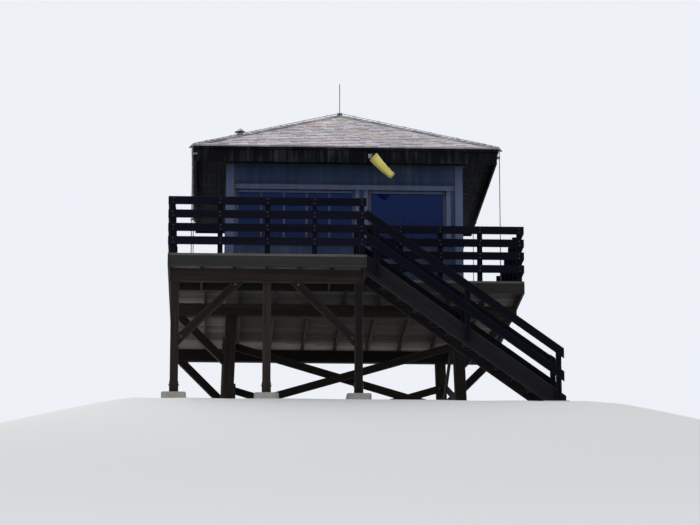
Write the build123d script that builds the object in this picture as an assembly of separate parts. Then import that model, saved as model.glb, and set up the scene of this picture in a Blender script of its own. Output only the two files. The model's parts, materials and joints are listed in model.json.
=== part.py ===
from build123d import *
import os
from math import atan, cos, degrees, radians, tan

# A fire lookout: a square hip-roofed cab with a catwalk round it, carried on a low
# timber tower, with a wider landing and a stair at the front.
# Millimetres. The front faces -Y, and Z is up. Everything is laid out about the centre
# of the cab, on the ground, and at the end the whole tower is moved so that the bottom
# centre of its bounding box is the origin.

# Levels above the ground and above the deck
deck_level = 2600
deck_board = 38
cab_floor_thick = 57
soffit_height = 2380
fascia_height = 240
fascia_drop = 120

# Plan of the cab, the catwalk and the landing
cab_width = 4267
wall_thick = 120
catwalk_width = 1016
landing_depth = 1900
landing_right = 250

# Timbers of the tower
leg_size = 200
leg_batter = 2.0
brace_width = 140
brace_thick = 38
brace_low = 420
brace_high = 1780
footing_size = 420
footing_height = 200
girder_width = 140
girder_depth = 235
joist_width = 38
joist_depth = 184
joist_pitch = 610
knee_size = 140
knee_reach = 800
post_size = 140
landing_beam_width = 89
landing_beam_inset = 230
landing_post_inset = 130
landing_knee_reach = 1000

# Windows, door and trim; heights are above the deck
window_sill = 950
window_head = 1900
band_margin = 160
light_pitch = 411
view_margin = 290
view_width = 1410
window_post = 250
sash_rail = 50
sash_thick = 45
mullion = 40
mullion_depth = 28
glass_thick = 6
trim_thick = 19
corner_board = 150
head_casing = 100
side_casing = 90
sill_drop = 60
sill_projection = 45
door_width = 810
door_height = 1960
door_near_corner = 400
door_thick = 44
door_frame_width = 35
door_stile = 110
door_lock_rail_low = 830
door_lock_rail_high = 980
door_kick_rail = 200
door_recess = 11
knob_radius = 28
knob_reach = 60
knob_height = 950

# Roof
eave_overhang = 616
roof_pitch = degrees(atan(0.5))
roof_thick = 45
drip_edge = 25
fascia_thick = 38
soffit_thick = 19
hip_cap_width = 230
hip_cap_thick = 14
stovepipe_radius = 60
stovepipe_height = 480
stovepipe_from_eave = 860
stovepipe_from_middle = -300
flashing_radius = 150
flashing_height = 90
neck_radius = 36
rain_cap_radius = 105
rain_cap_top_radius = 12
rain_cap_height = 70
rod_radius = 8
rod_height = 560
rod_tip_height = 40
rod_tip_radius = 1
rod_saddle = 90
conductor_radius = 8
conductor_clearance = 40
conductor_foot = 60
conductor_foot_thick = 12
clip_height = 30
clip_margin = 6
clip_lap = 50

# Railings
rail_height = 1000
rail_board = 140
rail_thick = 38
rail_pitch = 235
rail_count = 4
rail_post = 89
rail_bay = 760

# Stair
riser_count = 13
tread_run = 280
tread_thick = 38
stair_clear_width = 800
stringer_depth = 286
stringer_thick = 38
stringer_lip = 30
stringer_end = 40
stair_footing_length = 480
stair_footing_width = 280
stair_footing_height = 100
handrail_height = 800
handrail_mid_height = 400
handrail_posts = 3
handrail_post_drop = 10
handrail_post_reach = 200

# Windsock under the front eave
sock_bracket_x = 430
sock_bracket_reach = 160
sock_bracket_radius = 8
sock_plate_width = 60
sock_plate_height = 80
sock_plate_thick = 8
sock_wire_radius = 4
sock_stem = 80
sock_length = 480
sock_mouth_radius = 95
sock_tail_radius = 70
sock_wall = 3
sock_angle = 45

# Sizes that follow from the ones above
cab_half = cab_width / 2
deck_half = cab_half + catwalk_width
landing_front = deck_half + landing_depth
joist_top = deck_level - deck_board
joist_bottom = joist_top - joist_depth
girder_bottom = joist_bottom - girder_depth
leg_half = cab_half - leg_size / 2
batter = tan(radians(leg_batter))
cab_floor_top = joist_top + cab_floor_thick
soffit_level = deck_level + soffit_height
roof_half = cab_half + eave_overhang
fascia_half = roof_half - drip_edge
fascia_low = soffit_level - fascia_drop
fascia_top = fascia_low + fascia_height
roof_slope = tan(radians(roof_pitch))
riser = deck_level / riser_count
stair_slope = riser / tread_run
stair_run = (riser_count - 1) * tread_run
stringer_tall = stringer_depth * (1 + stair_slope ** 2) ** 0.5
stair_front = landing_front - rail_thick - rail_post
stair_rear = stair_front - stair_clear_width

# How far a cutting shape reaches past the faces that it cuts
past = 1


# Box from its low and high corner on each axis
def block(x0, x1, y0, y1, z0, z1):
    centre = Pos((x0 + x1) / 2, (y0 + y1) / 2, (z0 + z1) / 2)
    return centre * Box(x1 - x0, y1 - y0, z1 - z0)


# Polygon of (x, z) points, extruded from y0 to y1
def side_prism(points, y0, y1):
    outline = Wire.make_polygon([Vector(x, y0, z) for x, z in points])
    return extrude(Face(outline), amount=y1 - y0, dir=(0, 1, 0))


# Polygon of (x, y) points, extruded from z0 to z1
def plan_prism(points, z0, z1):
    outline = Wire.make_polygon([Vector(x, y, z0) for x, y in points])
    return extrude(Face(outline), amount=z1 - z0, dir=(0, 0, 1))


# A shape made for the front, turned to the right (1), rear (2) or left (3)
def turned(shape, quarters):
    return Rot(0, 0, 90 * quarters) * shape


def evenly(first, last, pitch):
    bays = max(1, round((last - first) / pitch))
    return [first + (last - first) * i / bays for i in range(bays + 1)]


# Distance of a leg's centre line from the middle of the tower, at a height
def leg_line(z):
    return leg_half + (girder_bottom - z) * batter


# Footings: one block under each leg, landing post and stringer
def footing_at(x, y, length, width, height):
    return block(x - length / 2, x + length / 2, y - width / 2, y + width / 2, 0, height)


def landing_post_places():
    left = -deck_half + landing_post_inset
    right = landing_right - landing_post_inset
    y = -landing_front + landing_beam_inset
    return [(left, y), ((left + right) / 2, y), (right, y)]


# Where a stringer's sloping underside meets its footing, and where the stringer ends
def stringer_foot():
    toe = landing_right + (deck_level + stringer_lip - stringer_tall - stair_footing_height) / stair_slope
    return toe, landing_right + stair_run + stringer_end


def make_footings():
    foot = leg_line(footing_height)
    corners = [(x, y) for x in (-foot, foot) for y in (-foot, foot)]
    places = corners + landing_post_places()
    blocks = [footing_at(x, y, footing_size, footing_size, footing_height) for x, y in places]
    stair_x = sum(stringer_foot()) / 2
    for y in (-stair_front + stringer_thick / 2, -stair_rear - stringer_thick / 2):
        blocks.append(footing_at(stair_x, y, stair_footing_length, stair_footing_width,
                                 stair_footing_height))
    return blocks


# Legs: square timbers that lean outward both ways, cut level at both ends
def make_legs():
    half = leg_size / 2
    foot = leg_line(footing_height)
    height = girder_bottom - footing_height
    lean = Vector(leg_half - foot, leg_half - foot, height)
    section = Pos(foot, foot, footing_height) * Rectangle(leg_size, leg_size)
    leg = extrude(section, amount=lean.length, dir=lean.normalized())
    return [turned(leg, quarter) for quarter in range(4)]


# Braces: on each side one bar on the outer and one on the inner face of the legs
def brace_bar(face_offset, rising):
    level = girder_bottom
    slant = cos(radians(leg_batter))
    plane = Plane(
        origin=(0, -leg_half - face_offset, level),
        x_dir=(1, 0, 0),
        z_dir=(0, -slant, slant * batter),
    )
    high_edge = leg_line(brace_high) + leg_size / 2
    low_edge = leg_line(brace_low - brace_width) + leg_size / 2
    top_v = (brace_high - level) / slant
    low_v = (brace_low - brace_width - level) / slant
    side = Polygon((-low_edge, low_v), (low_edge, low_v), (high_edge, top_v), (-high_edge, top_v),
                   align=None)
    start = Vector(-leg_line(brace_low), (brace_low - level) / slant)
    end = Vector(leg_line(brace_high), (brace_high - brace_width - level) / slant)
    run = end - start
    bar = Rectangle(run.length * 2, brace_width)
    middle = (start + end) / 2
    bar = Pos(middle.X, middle.Y) * Rot(0, 0, degrees(atan(run.Y / run.X))) * bar
    if not rising:
        bar = mirror(bar, about=Plane.YZ)
    return extrude(plane * (bar & side), amount=brace_thick)


def make_leg_braces():
    outer = brace_bar(leg_size / 2, True)
    inner = brace_bar(-leg_size / 2 - brace_thick / cos(radians(leg_batter)), False)
    return [turned(bar, quarter) for quarter in range(4) for bar in (outer, inner)]


# Girders: one over the front legs and one over the rear legs, out to the deck's edge
def make_girders():
    reach = deck_half - joist_width
    half = girder_width / 2
    girder = block(-reach, reach, -leg_half - half, -leg_half + half, girder_bottom, joist_bottom)
    return [girder, turned(girder, 2)]


# Knee brace in the plane y = 0: up and out from a post's face to a beam's underside
def knee(face_x, face_lean, beam_z, reach, size, width):
    along = size * 2 ** 0.5
    low = beam_z - reach
    inner_low = low - along / 2
    inner_high = low + along / 2
    face_low = face_x + (beam_z - inner_low) * face_lean
    face_high = face_x + (beam_z - inner_high) * face_lean
    points = [
        (face_low, inner_low),
        (face_low + beam_z - inner_low, beam_z),
        (face_high + beam_z - inner_high, beam_z),
        (face_high, inner_high),
    ]
    return side_prism(points, -width / 2, width / 2)


def make_girder_braces():
    right = knee(leg_half + leg_size / 2, batter, girder_bottom, knee_reach, knee_size, knee_size)
    left = mirror(right, about=Plane.YZ)
    return [Pos(0, y, 0) * brace for y in (-leg_half, leg_half) for brace in (left, right)]


# Joists: under the cab and catwalk, and a second set under the landing
def make_floor_joists():
    reach = deck_half - joist_width
    lines = evenly(-deck_half + joist_width / 2, deck_half - joist_width / 2, joist_pitch)
    half = joist_width / 2
    joists = [block(x - half, x + half, -reach, reach, joist_bottom, joist_top) for x in lines[1:-1]]
    lines = evenly(-deck_half + joist_width / 2, landing_right - joist_width / 2, joist_pitch)
    front = -landing_front + joist_width
    for x in lines[1:-1]:
        joists.append(block(x - half, x + half, front, -deck_half, joist_bottom, joist_top))
    return joists


# Rim boards: round the main deck, and round the three free sides of the landing
def make_rim_boards():
    t = joist_width
    d = deck_half
    z0 = joist_bottom
    z1 = joist_top
    front = block(-d, d, -d, -d + t, z0, z1)
    side = block(d - t, d, -d + t, d - t, z0, z1)
    landing = block(-d, landing_right, -landing_front, -landing_front + t, z0, z1)
    landing_left = block(-d, -d + t, -landing_front + t, -d, z0, z1)
    landing_side = block(landing_right - t, landing_right, -landing_front + t, -d, z0, z1)
    return [front, turned(front, 2), side, turned(side, 2), landing, landing_left, landing_side]


def make_landing_posts():
    half = post_size / 2
    top = girder_bottom
    return [block(x - half, x + half, y - half, y + half, footing_height, top)
            for x, y in landing_post_places()]


def make_landing_beam():
    y = -landing_front + landing_beam_inset
    half = landing_beam_width / 2
    return [block(-deck_half + joist_width, landing_right - joist_width, y - half, y + half,
                  girder_bottom, joist_bottom)]


# The landing's knee braces run up from its end posts towards each other
def make_landing_braces():
    posts = landing_post_places()
    left_x, left_y = posts[0]
    right_x, right_y = posts[-1]
    brace = knee(post_size / 2, 0, girder_bottom, landing_knee_reach, knee_size, landing_beam_width)
    left = Pos(left_x, left_y, 0) * brace
    right = Pos(right_x, right_y, 0) * mirror(brace, about=Plane.YZ)
    return [left, right]


# Decks and floor
def make_catwalk_deck():
    front = block(-deck_half, deck_half, -deck_half, -cab_half, joist_top, deck_level)
    side = block(cab_half, deck_half, -cab_half, cab_half, joist_top, deck_level)
    return [front, turned(front, 2), side, turned(side, 2)]


def make_landing_deck():
    return [block(-deck_half, landing_right, -landing_front, -deck_half, joist_top, deck_level)]


def make_cab_floor():
    return [block(-cab_half, cab_half, -cab_half, cab_half, joist_top, cab_floor_top)]


# Openings of each wall, as (left, right, bottom, top, lights) seen from outside
def window_openings(side):
    sill = deck_level + window_sill
    head = deck_level + window_head
    band_left = -cab_half + band_margin
    if side == "left":
        band_right = door_opening()[0] - window_post
        return [(band_left, band_right, sill, head, lights_in(band_left, band_right))]
    view_right = cab_half - view_margin
    view_left = view_right - view_width
    band_right = view_left - window_post
    return [(band_left, band_right, sill, head, lights_in(band_left, band_right)),
            (view_left, view_right, sill, head, 1)]


def lights_in(left, right):
    return max(1, round((right - left - 2 * sash_rail) / light_pitch))


def door_opening():
    right = cab_half - door_near_corner
    left = right - door_width - 2 * door_frame_width
    return left, right, cab_floor_top, deck_level + door_height + door_frame_width


sides = ["front", "right", "rear", "left"]


def make_wall(side):
    reach = cab_half if side in ("front", "rear") else cab_half - wall_thick
    wall = block(-reach, reach, -cab_half, -cab_half + wall_thick, cab_floor_top, soffit_level)
    openings = [opening[:4] for opening in window_openings(side)]
    if side == "left":
        openings.append(door_opening())
    for left, right, bottom, top in openings:
        wall -= block(left, right, -cab_half - past, -cab_half + wall_thick + past, bottom, top)
    return [turned(wall, sides.index(side))]


# The door's upper light and its lower panel, as (left, right, bottom, top)
def door_light():
    left, right, bottom, top = door_opening()
    inset = door_frame_width + door_stile
    return left + inset, right - inset, bottom + door_lock_rail_high, top - inset


def door_panel():
    left, right, bottom, top = door_opening()
    inset = door_frame_width + door_stile
    return left + inset, right - inset, bottom + door_kick_rail, bottom + door_lock_rail_low


def door_face():
    return -cab_half + trim_thick


# Sash: a frame in the opening, with upright mullions in front of one sheet of glass
def sash_front_face():
    return -cab_half + (wall_thick - sash_thick) / 2


def make_sash(left, right, bottom, top, lights):
    y0 = sash_front_face()
    y1 = y0 + sash_thick
    r = sash_rail
    sash = block(left, right, y0, y1, bottom, top)
    sash -= block(left + r, right - r, y0 - past, y1 + past, bottom + r, top - r)
    pitch = (right - left - 2 * r) / lights
    for i in range(1, lights):
        x = left + r + i * pitch
        sash += block(x - mullion / 2, x + mullion / 2, y0, y0 + mullion_depth, bottom + r, top - r)
    return sash


def make_window_sashes():
    return [turned(make_sash(*opening), quarter)
            for quarter, side in enumerate(sides) for opening in window_openings(side)]


def make_window_glass():
    y0 = sash_front_face() + mullion_depth
    r = sash_rail
    panes = []
    for quarter, side in enumerate(sides):
        for opening in window_openings(side):
            left, right, bottom, top = opening[:4]
            pane = block(left + r, right - r, y0, y0 + glass_thick, bottom + r, top - r)
            panes.append(turned(pane, quarter))
    left, right, bottom, top = door_light()
    y0 = door_face() + (door_thick - glass_thick) / 2
    panes.append(turned(block(left, right, y0, y0 + glass_thick, bottom, top), 3))
    return panes


# Casings: flat boards on the wall round each opening, with a head board right across
def make_casing(side):
    y1 = -cab_half
    y0 = y1 - trim_thick
    edge = cab_half - corner_board + trim_thick
    head = deck_level + window_head
    head_right = edge
    if side == "left":
        head_right = door_opening()[0] - side_casing
    casing = block(-edge, head_right, y0, y1, head, head + head_casing)
    for opening in window_openings(side):
        left, right, bottom, top = opening[:4]
        for x0, x1 in ((left - side_casing, left), (right, right + side_casing)):
            casing += block(max(x0, -edge), min(x1, edge), y0, y1, bottom, head)
        casing += block(max(left - side_casing, -edge), min(right + side_casing, edge),
                        y1 - sill_projection, y1, bottom - sill_drop, bottom)
    return casing


def make_window_casings():
    return [turned(make_casing(side), quarter) for quarter, side in enumerate(sides)]


def make_corner_boards():
    inner = cab_half
    outer = cab_half + trim_thick
    back = outer - corner_board
    z0 = deck_level
    z1 = soffit_level
    corner = block(back, outer, -outer, -inner, z0, z1) + block(inner, outer, -outer, -back, z0, z1)
    return [turned(corner, quarter) for quarter in range(4)]


# Door: a closed leaf between its jambs, with a flat casing outside
def make_door_frame():
    left, right, bottom, top = door_opening()
    w = door_frame_width
    y0 = -cab_half
    y1 = y0 + wall_thick
    frame = block(left, right, y0, y1, bottom, top)
    frame -= block(left + w, right - w, y0 - past, y1 + past, bottom, top - w)
    outer = block(left - side_casing, right + side_casing, y0 - trim_thick, y0, bottom, top + side_casing)
    outer -= block(left + w / 2, right - w / 2, y0 - trim_thick - past, y0 + past, bottom, top - w / 2)
    return [turned(frame + outer, 3)]


def make_door():
    left, right, bottom, top = door_opening()
    w = door_frame_width
    y0 = door_face()
    y1 = y0 + door_thick
    leaf = block(left + w, right - w, y0, y1, bottom, top - w)
    light_left, light_right, light_bottom, light_top = door_light()
    leaf -= block(light_left, light_right, y0 - past, y1 + past, light_bottom, light_top)
    panel_left, panel_right, panel_bottom, panel_top = door_panel()
    for low, high in ((y0 - past, y0 + door_recess), (y1 - door_recess, y1 + past)):
        leaf -= block(panel_left, panel_right, low, high, panel_bottom, panel_top)
    knob_x = left + w + door_stile / 2
    knob_z = bottom + knob_height
    spindle = Pos(knob_x, (y0 + y1) / 2, knob_z) * Rot(90, 0, 0) * Cylinder(
        knob_radius / 3, door_thick + 2 * knob_reach)
    for y in (y0 - knob_reach, y1 + knob_reach):
        leaf += Pos(knob_x, y, knob_z) * Sphere(knob_radius)
    return [turned(leaf + spindle, 3)]


# Ceiling on the walls, soffit boards from the walls out to the fascia
def make_ceiling():
    return [block(-cab_half, cab_half, -cab_half, cab_half, soffit_level, soffit_level + soffit_thick)]


def make_soffit():
    inner = cab_half
    outer = fascia_half - fascia_thick
    points = [(-inner, -inner), (inner, -inner), (outer, -outer), (-outer, -outer)]
    board = plan_prism(points, soffit_level, soffit_level + soffit_thick)
    return [turned(board, quarter) for quarter in range(4)]


# Roof surfaces: height of the roof's underside that far from the middle, the quarter of
# the plan that belongs to the front, and a slab of the front slope between two heights
# above that underside
def underside(distance):
    return fascia_top + (fascia_half - distance) * roof_slope


def front_quarter(top):
    reach = 2 * roof_half
    return plan_prism([(0, 0), (-reach, -reach), (reach, -reach)], 0, top)


def along_front(points, reach):
    outline = Wire.make_polygon([Vector(-reach, y, z) for y, z in points])
    return extrude(Face(outline), amount=2 * reach, dir=(1, 0, 0))


def slope_slab(low, high):
    reach = roof_half
    points = [(-reach, underside(reach) + low), (0, underside(0) + low),
              (0, underside(0) + high), (-reach, underside(reach) + high)]
    return along_front(points, reach) & front_quarter(underside(0) + high + past)


roof_upright = roof_thick / cos(radians(roof_pitch))
cap_upright = hip_cap_thick / cos(radians(roof_pitch))


def make_roof(side):
    return [turned(slope_slab(0, roof_upright), sides.index(side))]


# Fascia boards, mitred at the corners and bevelled on top to the roof's slope. They hang
# below the soffit and hide it from the front
def make_fascia():
    outer = fascia_half
    inner = fascia_half - fascia_thick
    points = [(-outer, fascia_low), (-inner, fascia_low), (-inner, underside(inner)),
              (-outer, underside(outer))]
    board = along_front(points, outer) & front_quarter(underside(0))
    return [turned(board, quarter) for quarter in range(4)]


# Hip caps: a bent strip over each hip, from the eave to the saddle at the top
def make_hip_caps():
    slab = slope_slab(roof_upright, roof_upright + cap_upright)
    both = slab + turned(slab, 1)
    diagonal = 2 ** 0.5
    half = hip_cap_width / 2
    strip = block(rod_saddle / 2 * diagonal, roof_half * diagonal + past, -half, half, 0, 2 * underside(0))
    cap = both & (Rot(0, 0, -45) * strip)
    return [turned(cap, quarter) for quarter in range(4)]


# Everything under the roof's top surface, to trim what stands on it
def roof_mass():
    slab = slope_slab(-underside(0), roof_upright)
    mass = slab
    for quarter in (1, 2, 3):
        mass += turned(slab, quarter)
    return mass


def make_stovepipe():
    out = roof_half - stovepipe_from_eave
    seat = underside(out) + roof_upright
    top = seat + stovepipe_height
    drop = flashing_radius
    here = Pos(-out, stovepipe_from_middle, 0)
    flashing = Pos(0, 0, seat) * Cone(flashing_radius, stovepipe_radius, flashing_height * 2)
    skirt = Pos(0, 0, seat - flashing_height - drop / 2) * Cylinder(flashing_radius, drop)
    pipe = Pos(0, 0, (seat + top) / 2) * Cylinder(stovepipe_radius, top - seat)
    neck_top = top + rain_cap_height / 2
    neck = Pos(0, 0, (top + neck_top) / 2) * Cylinder(neck_radius, neck_top - top)
    cap = Pos(0, 0, neck_top + rain_cap_height / 2) * Cone(
        rain_cap_radius, rain_cap_top_radius, rain_cap_height)
    pipe = here * (flashing + skirt + pipe + neck + cap)
    return [pipe - roof_mass()]


def make_lightning_rod():
    top = underside(0) + roof_upright
    half = rod_saddle / 2
    saddle = block(-half, half, -half, half, top - rod_saddle, top + half) - roof_mass()
    rod = Pos(0, 0, top + half + rod_height / 2) * Cylinder(rod_radius, rod_height)
    tip = Pos(0, 0, top + half + rod_height + rod_tip_height / 2) * Cone(
        rod_radius, rod_tip_radius, rod_tip_height)
    return [saddle + rod + tip]


# Down conductors: a straight rod by each corner of the eave, from a clip on the fascia
# to a foot on the deck
def make_down_conductors():
    line = fascia_half + conductor_clearance
    height = fascia_top - deck_level
    rod = Pos(line, -line, deck_level + height / 2) * Cylinder(conductor_radius, height)
    half = conductor_foot / 2
    foot = block(line - half, line + half, -line - half, -line + half,
                 deck_level, deck_level + conductor_foot_thick)
    clip_reach = line + conductor_radius + clip_margin
    clip_middle = fascia_top - fascia_height / 2
    clip = block(fascia_half, clip_reach, -clip_reach, -fascia_half + clip_lap,
                 clip_middle - clip_height / 2, clip_middle + clip_height / 2)
    return [turned(rod + foot + clip, quarter) for quarter in range(4)]


# Railing on the front of a deck: boards on the outside of the posts
def make_railing(outer, first, last, posts):
    y0 = -outer
    y1 = -outer + rail_thick
    y2 = y1 + rail_post
    base = deck_level
    railing = None
    for i in range(rail_count):
        top = base + rail_height - i * rail_pitch
        rail = block(first, last, y0, y1, top - rail_board, top)
        railing = rail if railing is None else railing + rail
    half = rail_post / 2
    for x in posts:
        railing += block(x - half, x + half, y1, y2, base, base + rail_height)
    return railing


post_line = rail_thick + rail_post / 2
rail_end = deck_half - rail_thick
corner_post = deck_half - post_line


def make_railing_landing():
    posts = evenly(-corner_post, landing_right - post_line, rail_bay)
    return [make_railing(landing_front, -deck_half, landing_right, posts)]


def make_railing_left():
    posts = evenly(-corner_post, landing_front - post_line, rail_bay)[1:-1]
    return [turned(make_railing(deck_half, -rail_end, landing_front - rail_thick, posts), 3)]


def make_railing_rear():
    posts = evenly(-corner_post, corner_post, rail_bay)
    return [turned(make_railing(deck_half, -deck_half, deck_half, posts), 2)]


def make_railing_right():
    posts = evenly(-corner_post, corner_post, rail_bay)[1:-1]
    return [turned(make_railing(deck_half, -rail_end, rail_end, posts), 1)]


def make_railing_front():
    posts = evenly(landing_right, corner_post, rail_bay)[1:]
    return [make_railing(deck_half, landing_right, deck_half, posts)]


def make_railing_stair_head():
    first = -stair_rear
    last = -corner_post + rail_post / 2
    posts = [first + rail_post / 2, -corner_post]
    return [turned(make_railing(landing_right, first, last, posts), 1)]


# Stair: two stringers with treads between them, and a handrail outside each
def nosing_line(x):
    return deck_level - (x - landing_right) * stair_slope


def make_stair_stringers():
    toe, end = stringer_foot()
    foot = stair_footing_height
    lip = stringer_lip
    points = [(landing_right, deck_level + lip), (end, nosing_line(end) + lip), (end, foot),
              (toe, foot), (landing_right, deck_level + lip - stringer_tall)]
    front = side_prism(points, -stair_front, -stair_front + stringer_thick)
    rear = side_prism(points, -stair_rear - stringer_thick, -stair_rear)
    return [front, rear]


def make_stair_treads():
    treads = []
    for i in range(1, riser_count):
        top = deck_level - i * riser
        x = landing_right + (i - 1) * tread_run
        treads.append(block(x, x + tread_run, -stair_front + stringer_thick,
                            -stair_rear - stringer_thick, top - tread_thick, top))
    return treads


# Handrail: posts on the outside of a stringer, sloping boards outside the posts
def make_handrail(outer, outward):
    y_rail = (outer, outer + outward * rail_thick)
    y_post = (outer - outward * rail_post, outer)
    start = landing_right
    end = start + stair_run
    tall = rail_board * (1 + stair_slope ** 2) ** 0.5
    handrail = None
    for height in (handrail_height, handrail_mid_height):
        points = [(start, nosing_line(start) + height), (end, nosing_line(end) + height),
                  (end, nosing_line(end) + height - tall), (start, nosing_line(start) + height - tall)]
        rail = side_prism(points, min(y_rail), max(y_rail))
        handrail = rail if handrail is None else handrail + rail
    first = start + rail_post * 2
    last = end - rail_post
    for i in range(handrail_posts):
        x = first + (last - first) * i / (handrail_posts - 1)
        x0 = x - rail_post / 2
        x1 = x + rail_post / 2
        above = handrail_height - handrail_post_drop
        below = handrail_post_reach
        points = [(x0, nosing_line(x0) + above), (x1, nosing_line(x1) + above),
                  (x1, nosing_line(x1) - below), (x0, nosing_line(x0) - below)]
        points = [(px, max(pz, stair_footing_height)) for px, pz in points]
        handrail += side_prism(points, min(y_post), max(y_post))
    return [handrail]


def make_stair_handrail_front():
    return make_handrail(-landing_front + rail_thick, -1)


def make_stair_handrail_rear():
    return make_handrail(-stair_rear + rail_post, 1)


# Windsock: a tapered tube hung from a rod under the front eave
def make_windsock():
    y = -fascia_half - sock_bracket_reach
    z = fascia_low + fascia_height / 2
    arm = Pos(sock_bracket_x, (y - fascia_half) / 2, z) * Rot(90, 0, 0) * Cylinder(
        sock_bracket_radius, sock_bracket_reach)
    plate_half = sock_plate_width / 2
    plate = block(sock_bracket_x - plate_half, sock_bracket_x + plate_half,
                  -fascia_half - sock_plate_thick, -fascia_half,
                  z - sock_plate_height / 2, z + sock_plate_height / 2)
    sock = Cone(sock_mouth_radius, sock_tail_radius, sock_length)
    sock -= Cone(sock_mouth_radius - sock_wall, sock_tail_radius - sock_wall, sock_length)
    bridle = Pos(0, 0, -sock_length / 2) * Rot(0, 90, 0) * Cylinder(
        sock_wire_radius, 2 * sock_mouth_radius - sock_wall)
    stem = Pos(0, 0, -(sock_length + sock_stem) / 2) * Cylinder(sock_wire_radius, sock_stem)
    sock = Pos(0, 0, sock_length / 2 + sock_stem) * (sock + bridle + stem)
    sock = Pos(sock_bracket_x, y, z) * Rot(0, 90 + sock_angle, 0) * sock
    return [arm + plate + sock]


nodes = {
    "footings": make_footings(),
    "legs": make_legs(),
    "leg_braces": make_leg_braces(),
    "girders": make_girders(),
    "girder_braces": make_girder_braces(),
    "floor_joists": make_floor_joists(),
    "rim_boards": make_rim_boards(),
    "landing_posts": make_landing_posts(),
    "landing_beam": make_landing_beam(),
    "landing_braces": make_landing_braces(),
    "catwalk_deck": make_catwalk_deck(),
    "landing_deck": make_landing_deck(),
    "cab_floor": make_cab_floor(),
    "wall_front": make_wall("front"),
    "wall_right": make_wall("right"),
    "wall_rear": make_wall("rear"),
    "wall_left": make_wall("left"),
    "window_sashes": make_window_sashes(),
    "window_glass": make_window_glass(),
    "window_casings": make_window_casings(),
    "corner_boards": make_corner_boards(),
    "door_frame": make_door_frame(),
    "door": make_door(),
    "ceiling": make_ceiling(),
    "soffit": make_soffit(),
    "fascia": make_fascia(),
    "roof_front": make_roof("front"),
    "roof_right": make_roof("right"),
    "roof_rear": make_roof("rear"),
    "roof_left": make_roof("left"),
    "hip_caps": make_hip_caps(),
    "stovepipe": make_stovepipe(),
    "lightning_rod": make_lightning_rod(),
    "down_conductors": make_down_conductors(),
    "railing_landing": make_railing_landing(),
    "railing_left": make_railing_left(),
    "railing_rear": make_railing_rear(),
    "railing_right": make_railing_right(),
    "railing_front": make_railing_front(),
    "railing_stair_head": make_railing_stair_head(),
    "stair_stringers": make_stair_stringers(),
    "stair_treads": make_stair_treads(),
    "stair_handrail_front": make_stair_handrail_front(),
    "stair_handrail_rear": make_stair_handrail_rear(),
    "windsock": make_windsock(),
}

everything = Compound([solid for solids in nodes.values() for shape in solids for solid in shape.solids()])
box = everything.bounding_box()
centre = box.center()
to_origin = Pos(-centre.X, -centre.Y, -box.min.Z)

os.makedirs("parts", exist_ok=True)
for name, shapes in nodes.items():
    solids = [to_origin * solid for shape in shapes for solid in shape.solids()]
    export_step(solids[0] if len(solids) == 1 else Compound(solids), f"parts/{name}.step")
print("cab centre from origin", round(-centre.X, 2), round(-centre.Y, 2))
print("size", round(box.size.X, 1), round(box.size.Y, 1), round(box.size.Z, 1))
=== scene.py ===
# %% [markdown]
# # A fire lookout on a low timber tower
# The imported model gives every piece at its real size. This file gives the pieces their
# finish: sawn timber whose grain follows each stick, cedar shingles laid in courses,
# weathered paint and old glass. All sizes are in metres, Z is up, and the front of the
# building faces -Y.

# %% Load the frame
import json
import math
import random

import bmesh
import bpy
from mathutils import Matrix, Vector

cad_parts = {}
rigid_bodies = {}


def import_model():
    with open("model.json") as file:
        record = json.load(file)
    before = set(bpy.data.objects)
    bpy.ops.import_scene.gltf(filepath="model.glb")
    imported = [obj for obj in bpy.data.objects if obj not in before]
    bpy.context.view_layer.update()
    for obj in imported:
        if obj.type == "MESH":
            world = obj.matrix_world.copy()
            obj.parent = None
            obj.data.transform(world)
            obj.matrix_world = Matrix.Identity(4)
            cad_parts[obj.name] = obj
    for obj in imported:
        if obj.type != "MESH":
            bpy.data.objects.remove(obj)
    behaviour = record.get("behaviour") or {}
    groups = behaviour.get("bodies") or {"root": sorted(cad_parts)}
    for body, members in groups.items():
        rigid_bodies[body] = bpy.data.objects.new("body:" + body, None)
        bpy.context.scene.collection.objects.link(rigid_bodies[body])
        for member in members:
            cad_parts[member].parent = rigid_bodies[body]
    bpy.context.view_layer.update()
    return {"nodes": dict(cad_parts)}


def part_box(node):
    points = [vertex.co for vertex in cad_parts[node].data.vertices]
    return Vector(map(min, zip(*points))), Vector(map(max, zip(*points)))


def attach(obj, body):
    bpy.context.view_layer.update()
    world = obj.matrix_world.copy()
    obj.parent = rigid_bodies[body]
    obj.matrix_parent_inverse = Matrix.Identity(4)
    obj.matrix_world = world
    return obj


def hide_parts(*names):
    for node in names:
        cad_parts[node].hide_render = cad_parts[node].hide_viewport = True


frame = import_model()
nodes = frame["nodes"]

# %% [markdown]
# The levels and edges of the building are read from the frame: its plan is square, so
# one half of the cab, one of the deck and one of the roof are enough. Typing the
# numbers in again would work too, but then a change in the model would leave the
# finish behind.

# %% Read the building's levels and edges
floor_low, floor_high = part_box("cab_floor")
deck_low, deck_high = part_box("catwalk_deck")
soffit_low, soffit_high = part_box("soffit")
roof_low, roof_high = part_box("roof_front")
footing_low, footing_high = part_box("footings")

middle = Vector(((floor_low.x + floor_high.x) / 2, (floor_low.y + floor_high.y) / 2, 0))
cab_half = (floor_high.x - floor_low.x) / 2
deck_half = (deck_high.x - deck_low.x) / 2
roof_half = (roof_high.x - roof_low.x) / 2
deck_top = deck_high.z
soffit_level = soffit_low.z
print("deck top", round(deck_top, 3), "cab half", round(cab_half, 3), "roof half", round(roof_half, 3))

# %% [markdown]
# The camera stands far away and well below the deck, so that the lookout is seen from
# beneath its own floor. A long lens aimed straight at the building frames it from there.
# A wide lens with a large shift would also do, but it would lose the building in every
# other view.

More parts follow.
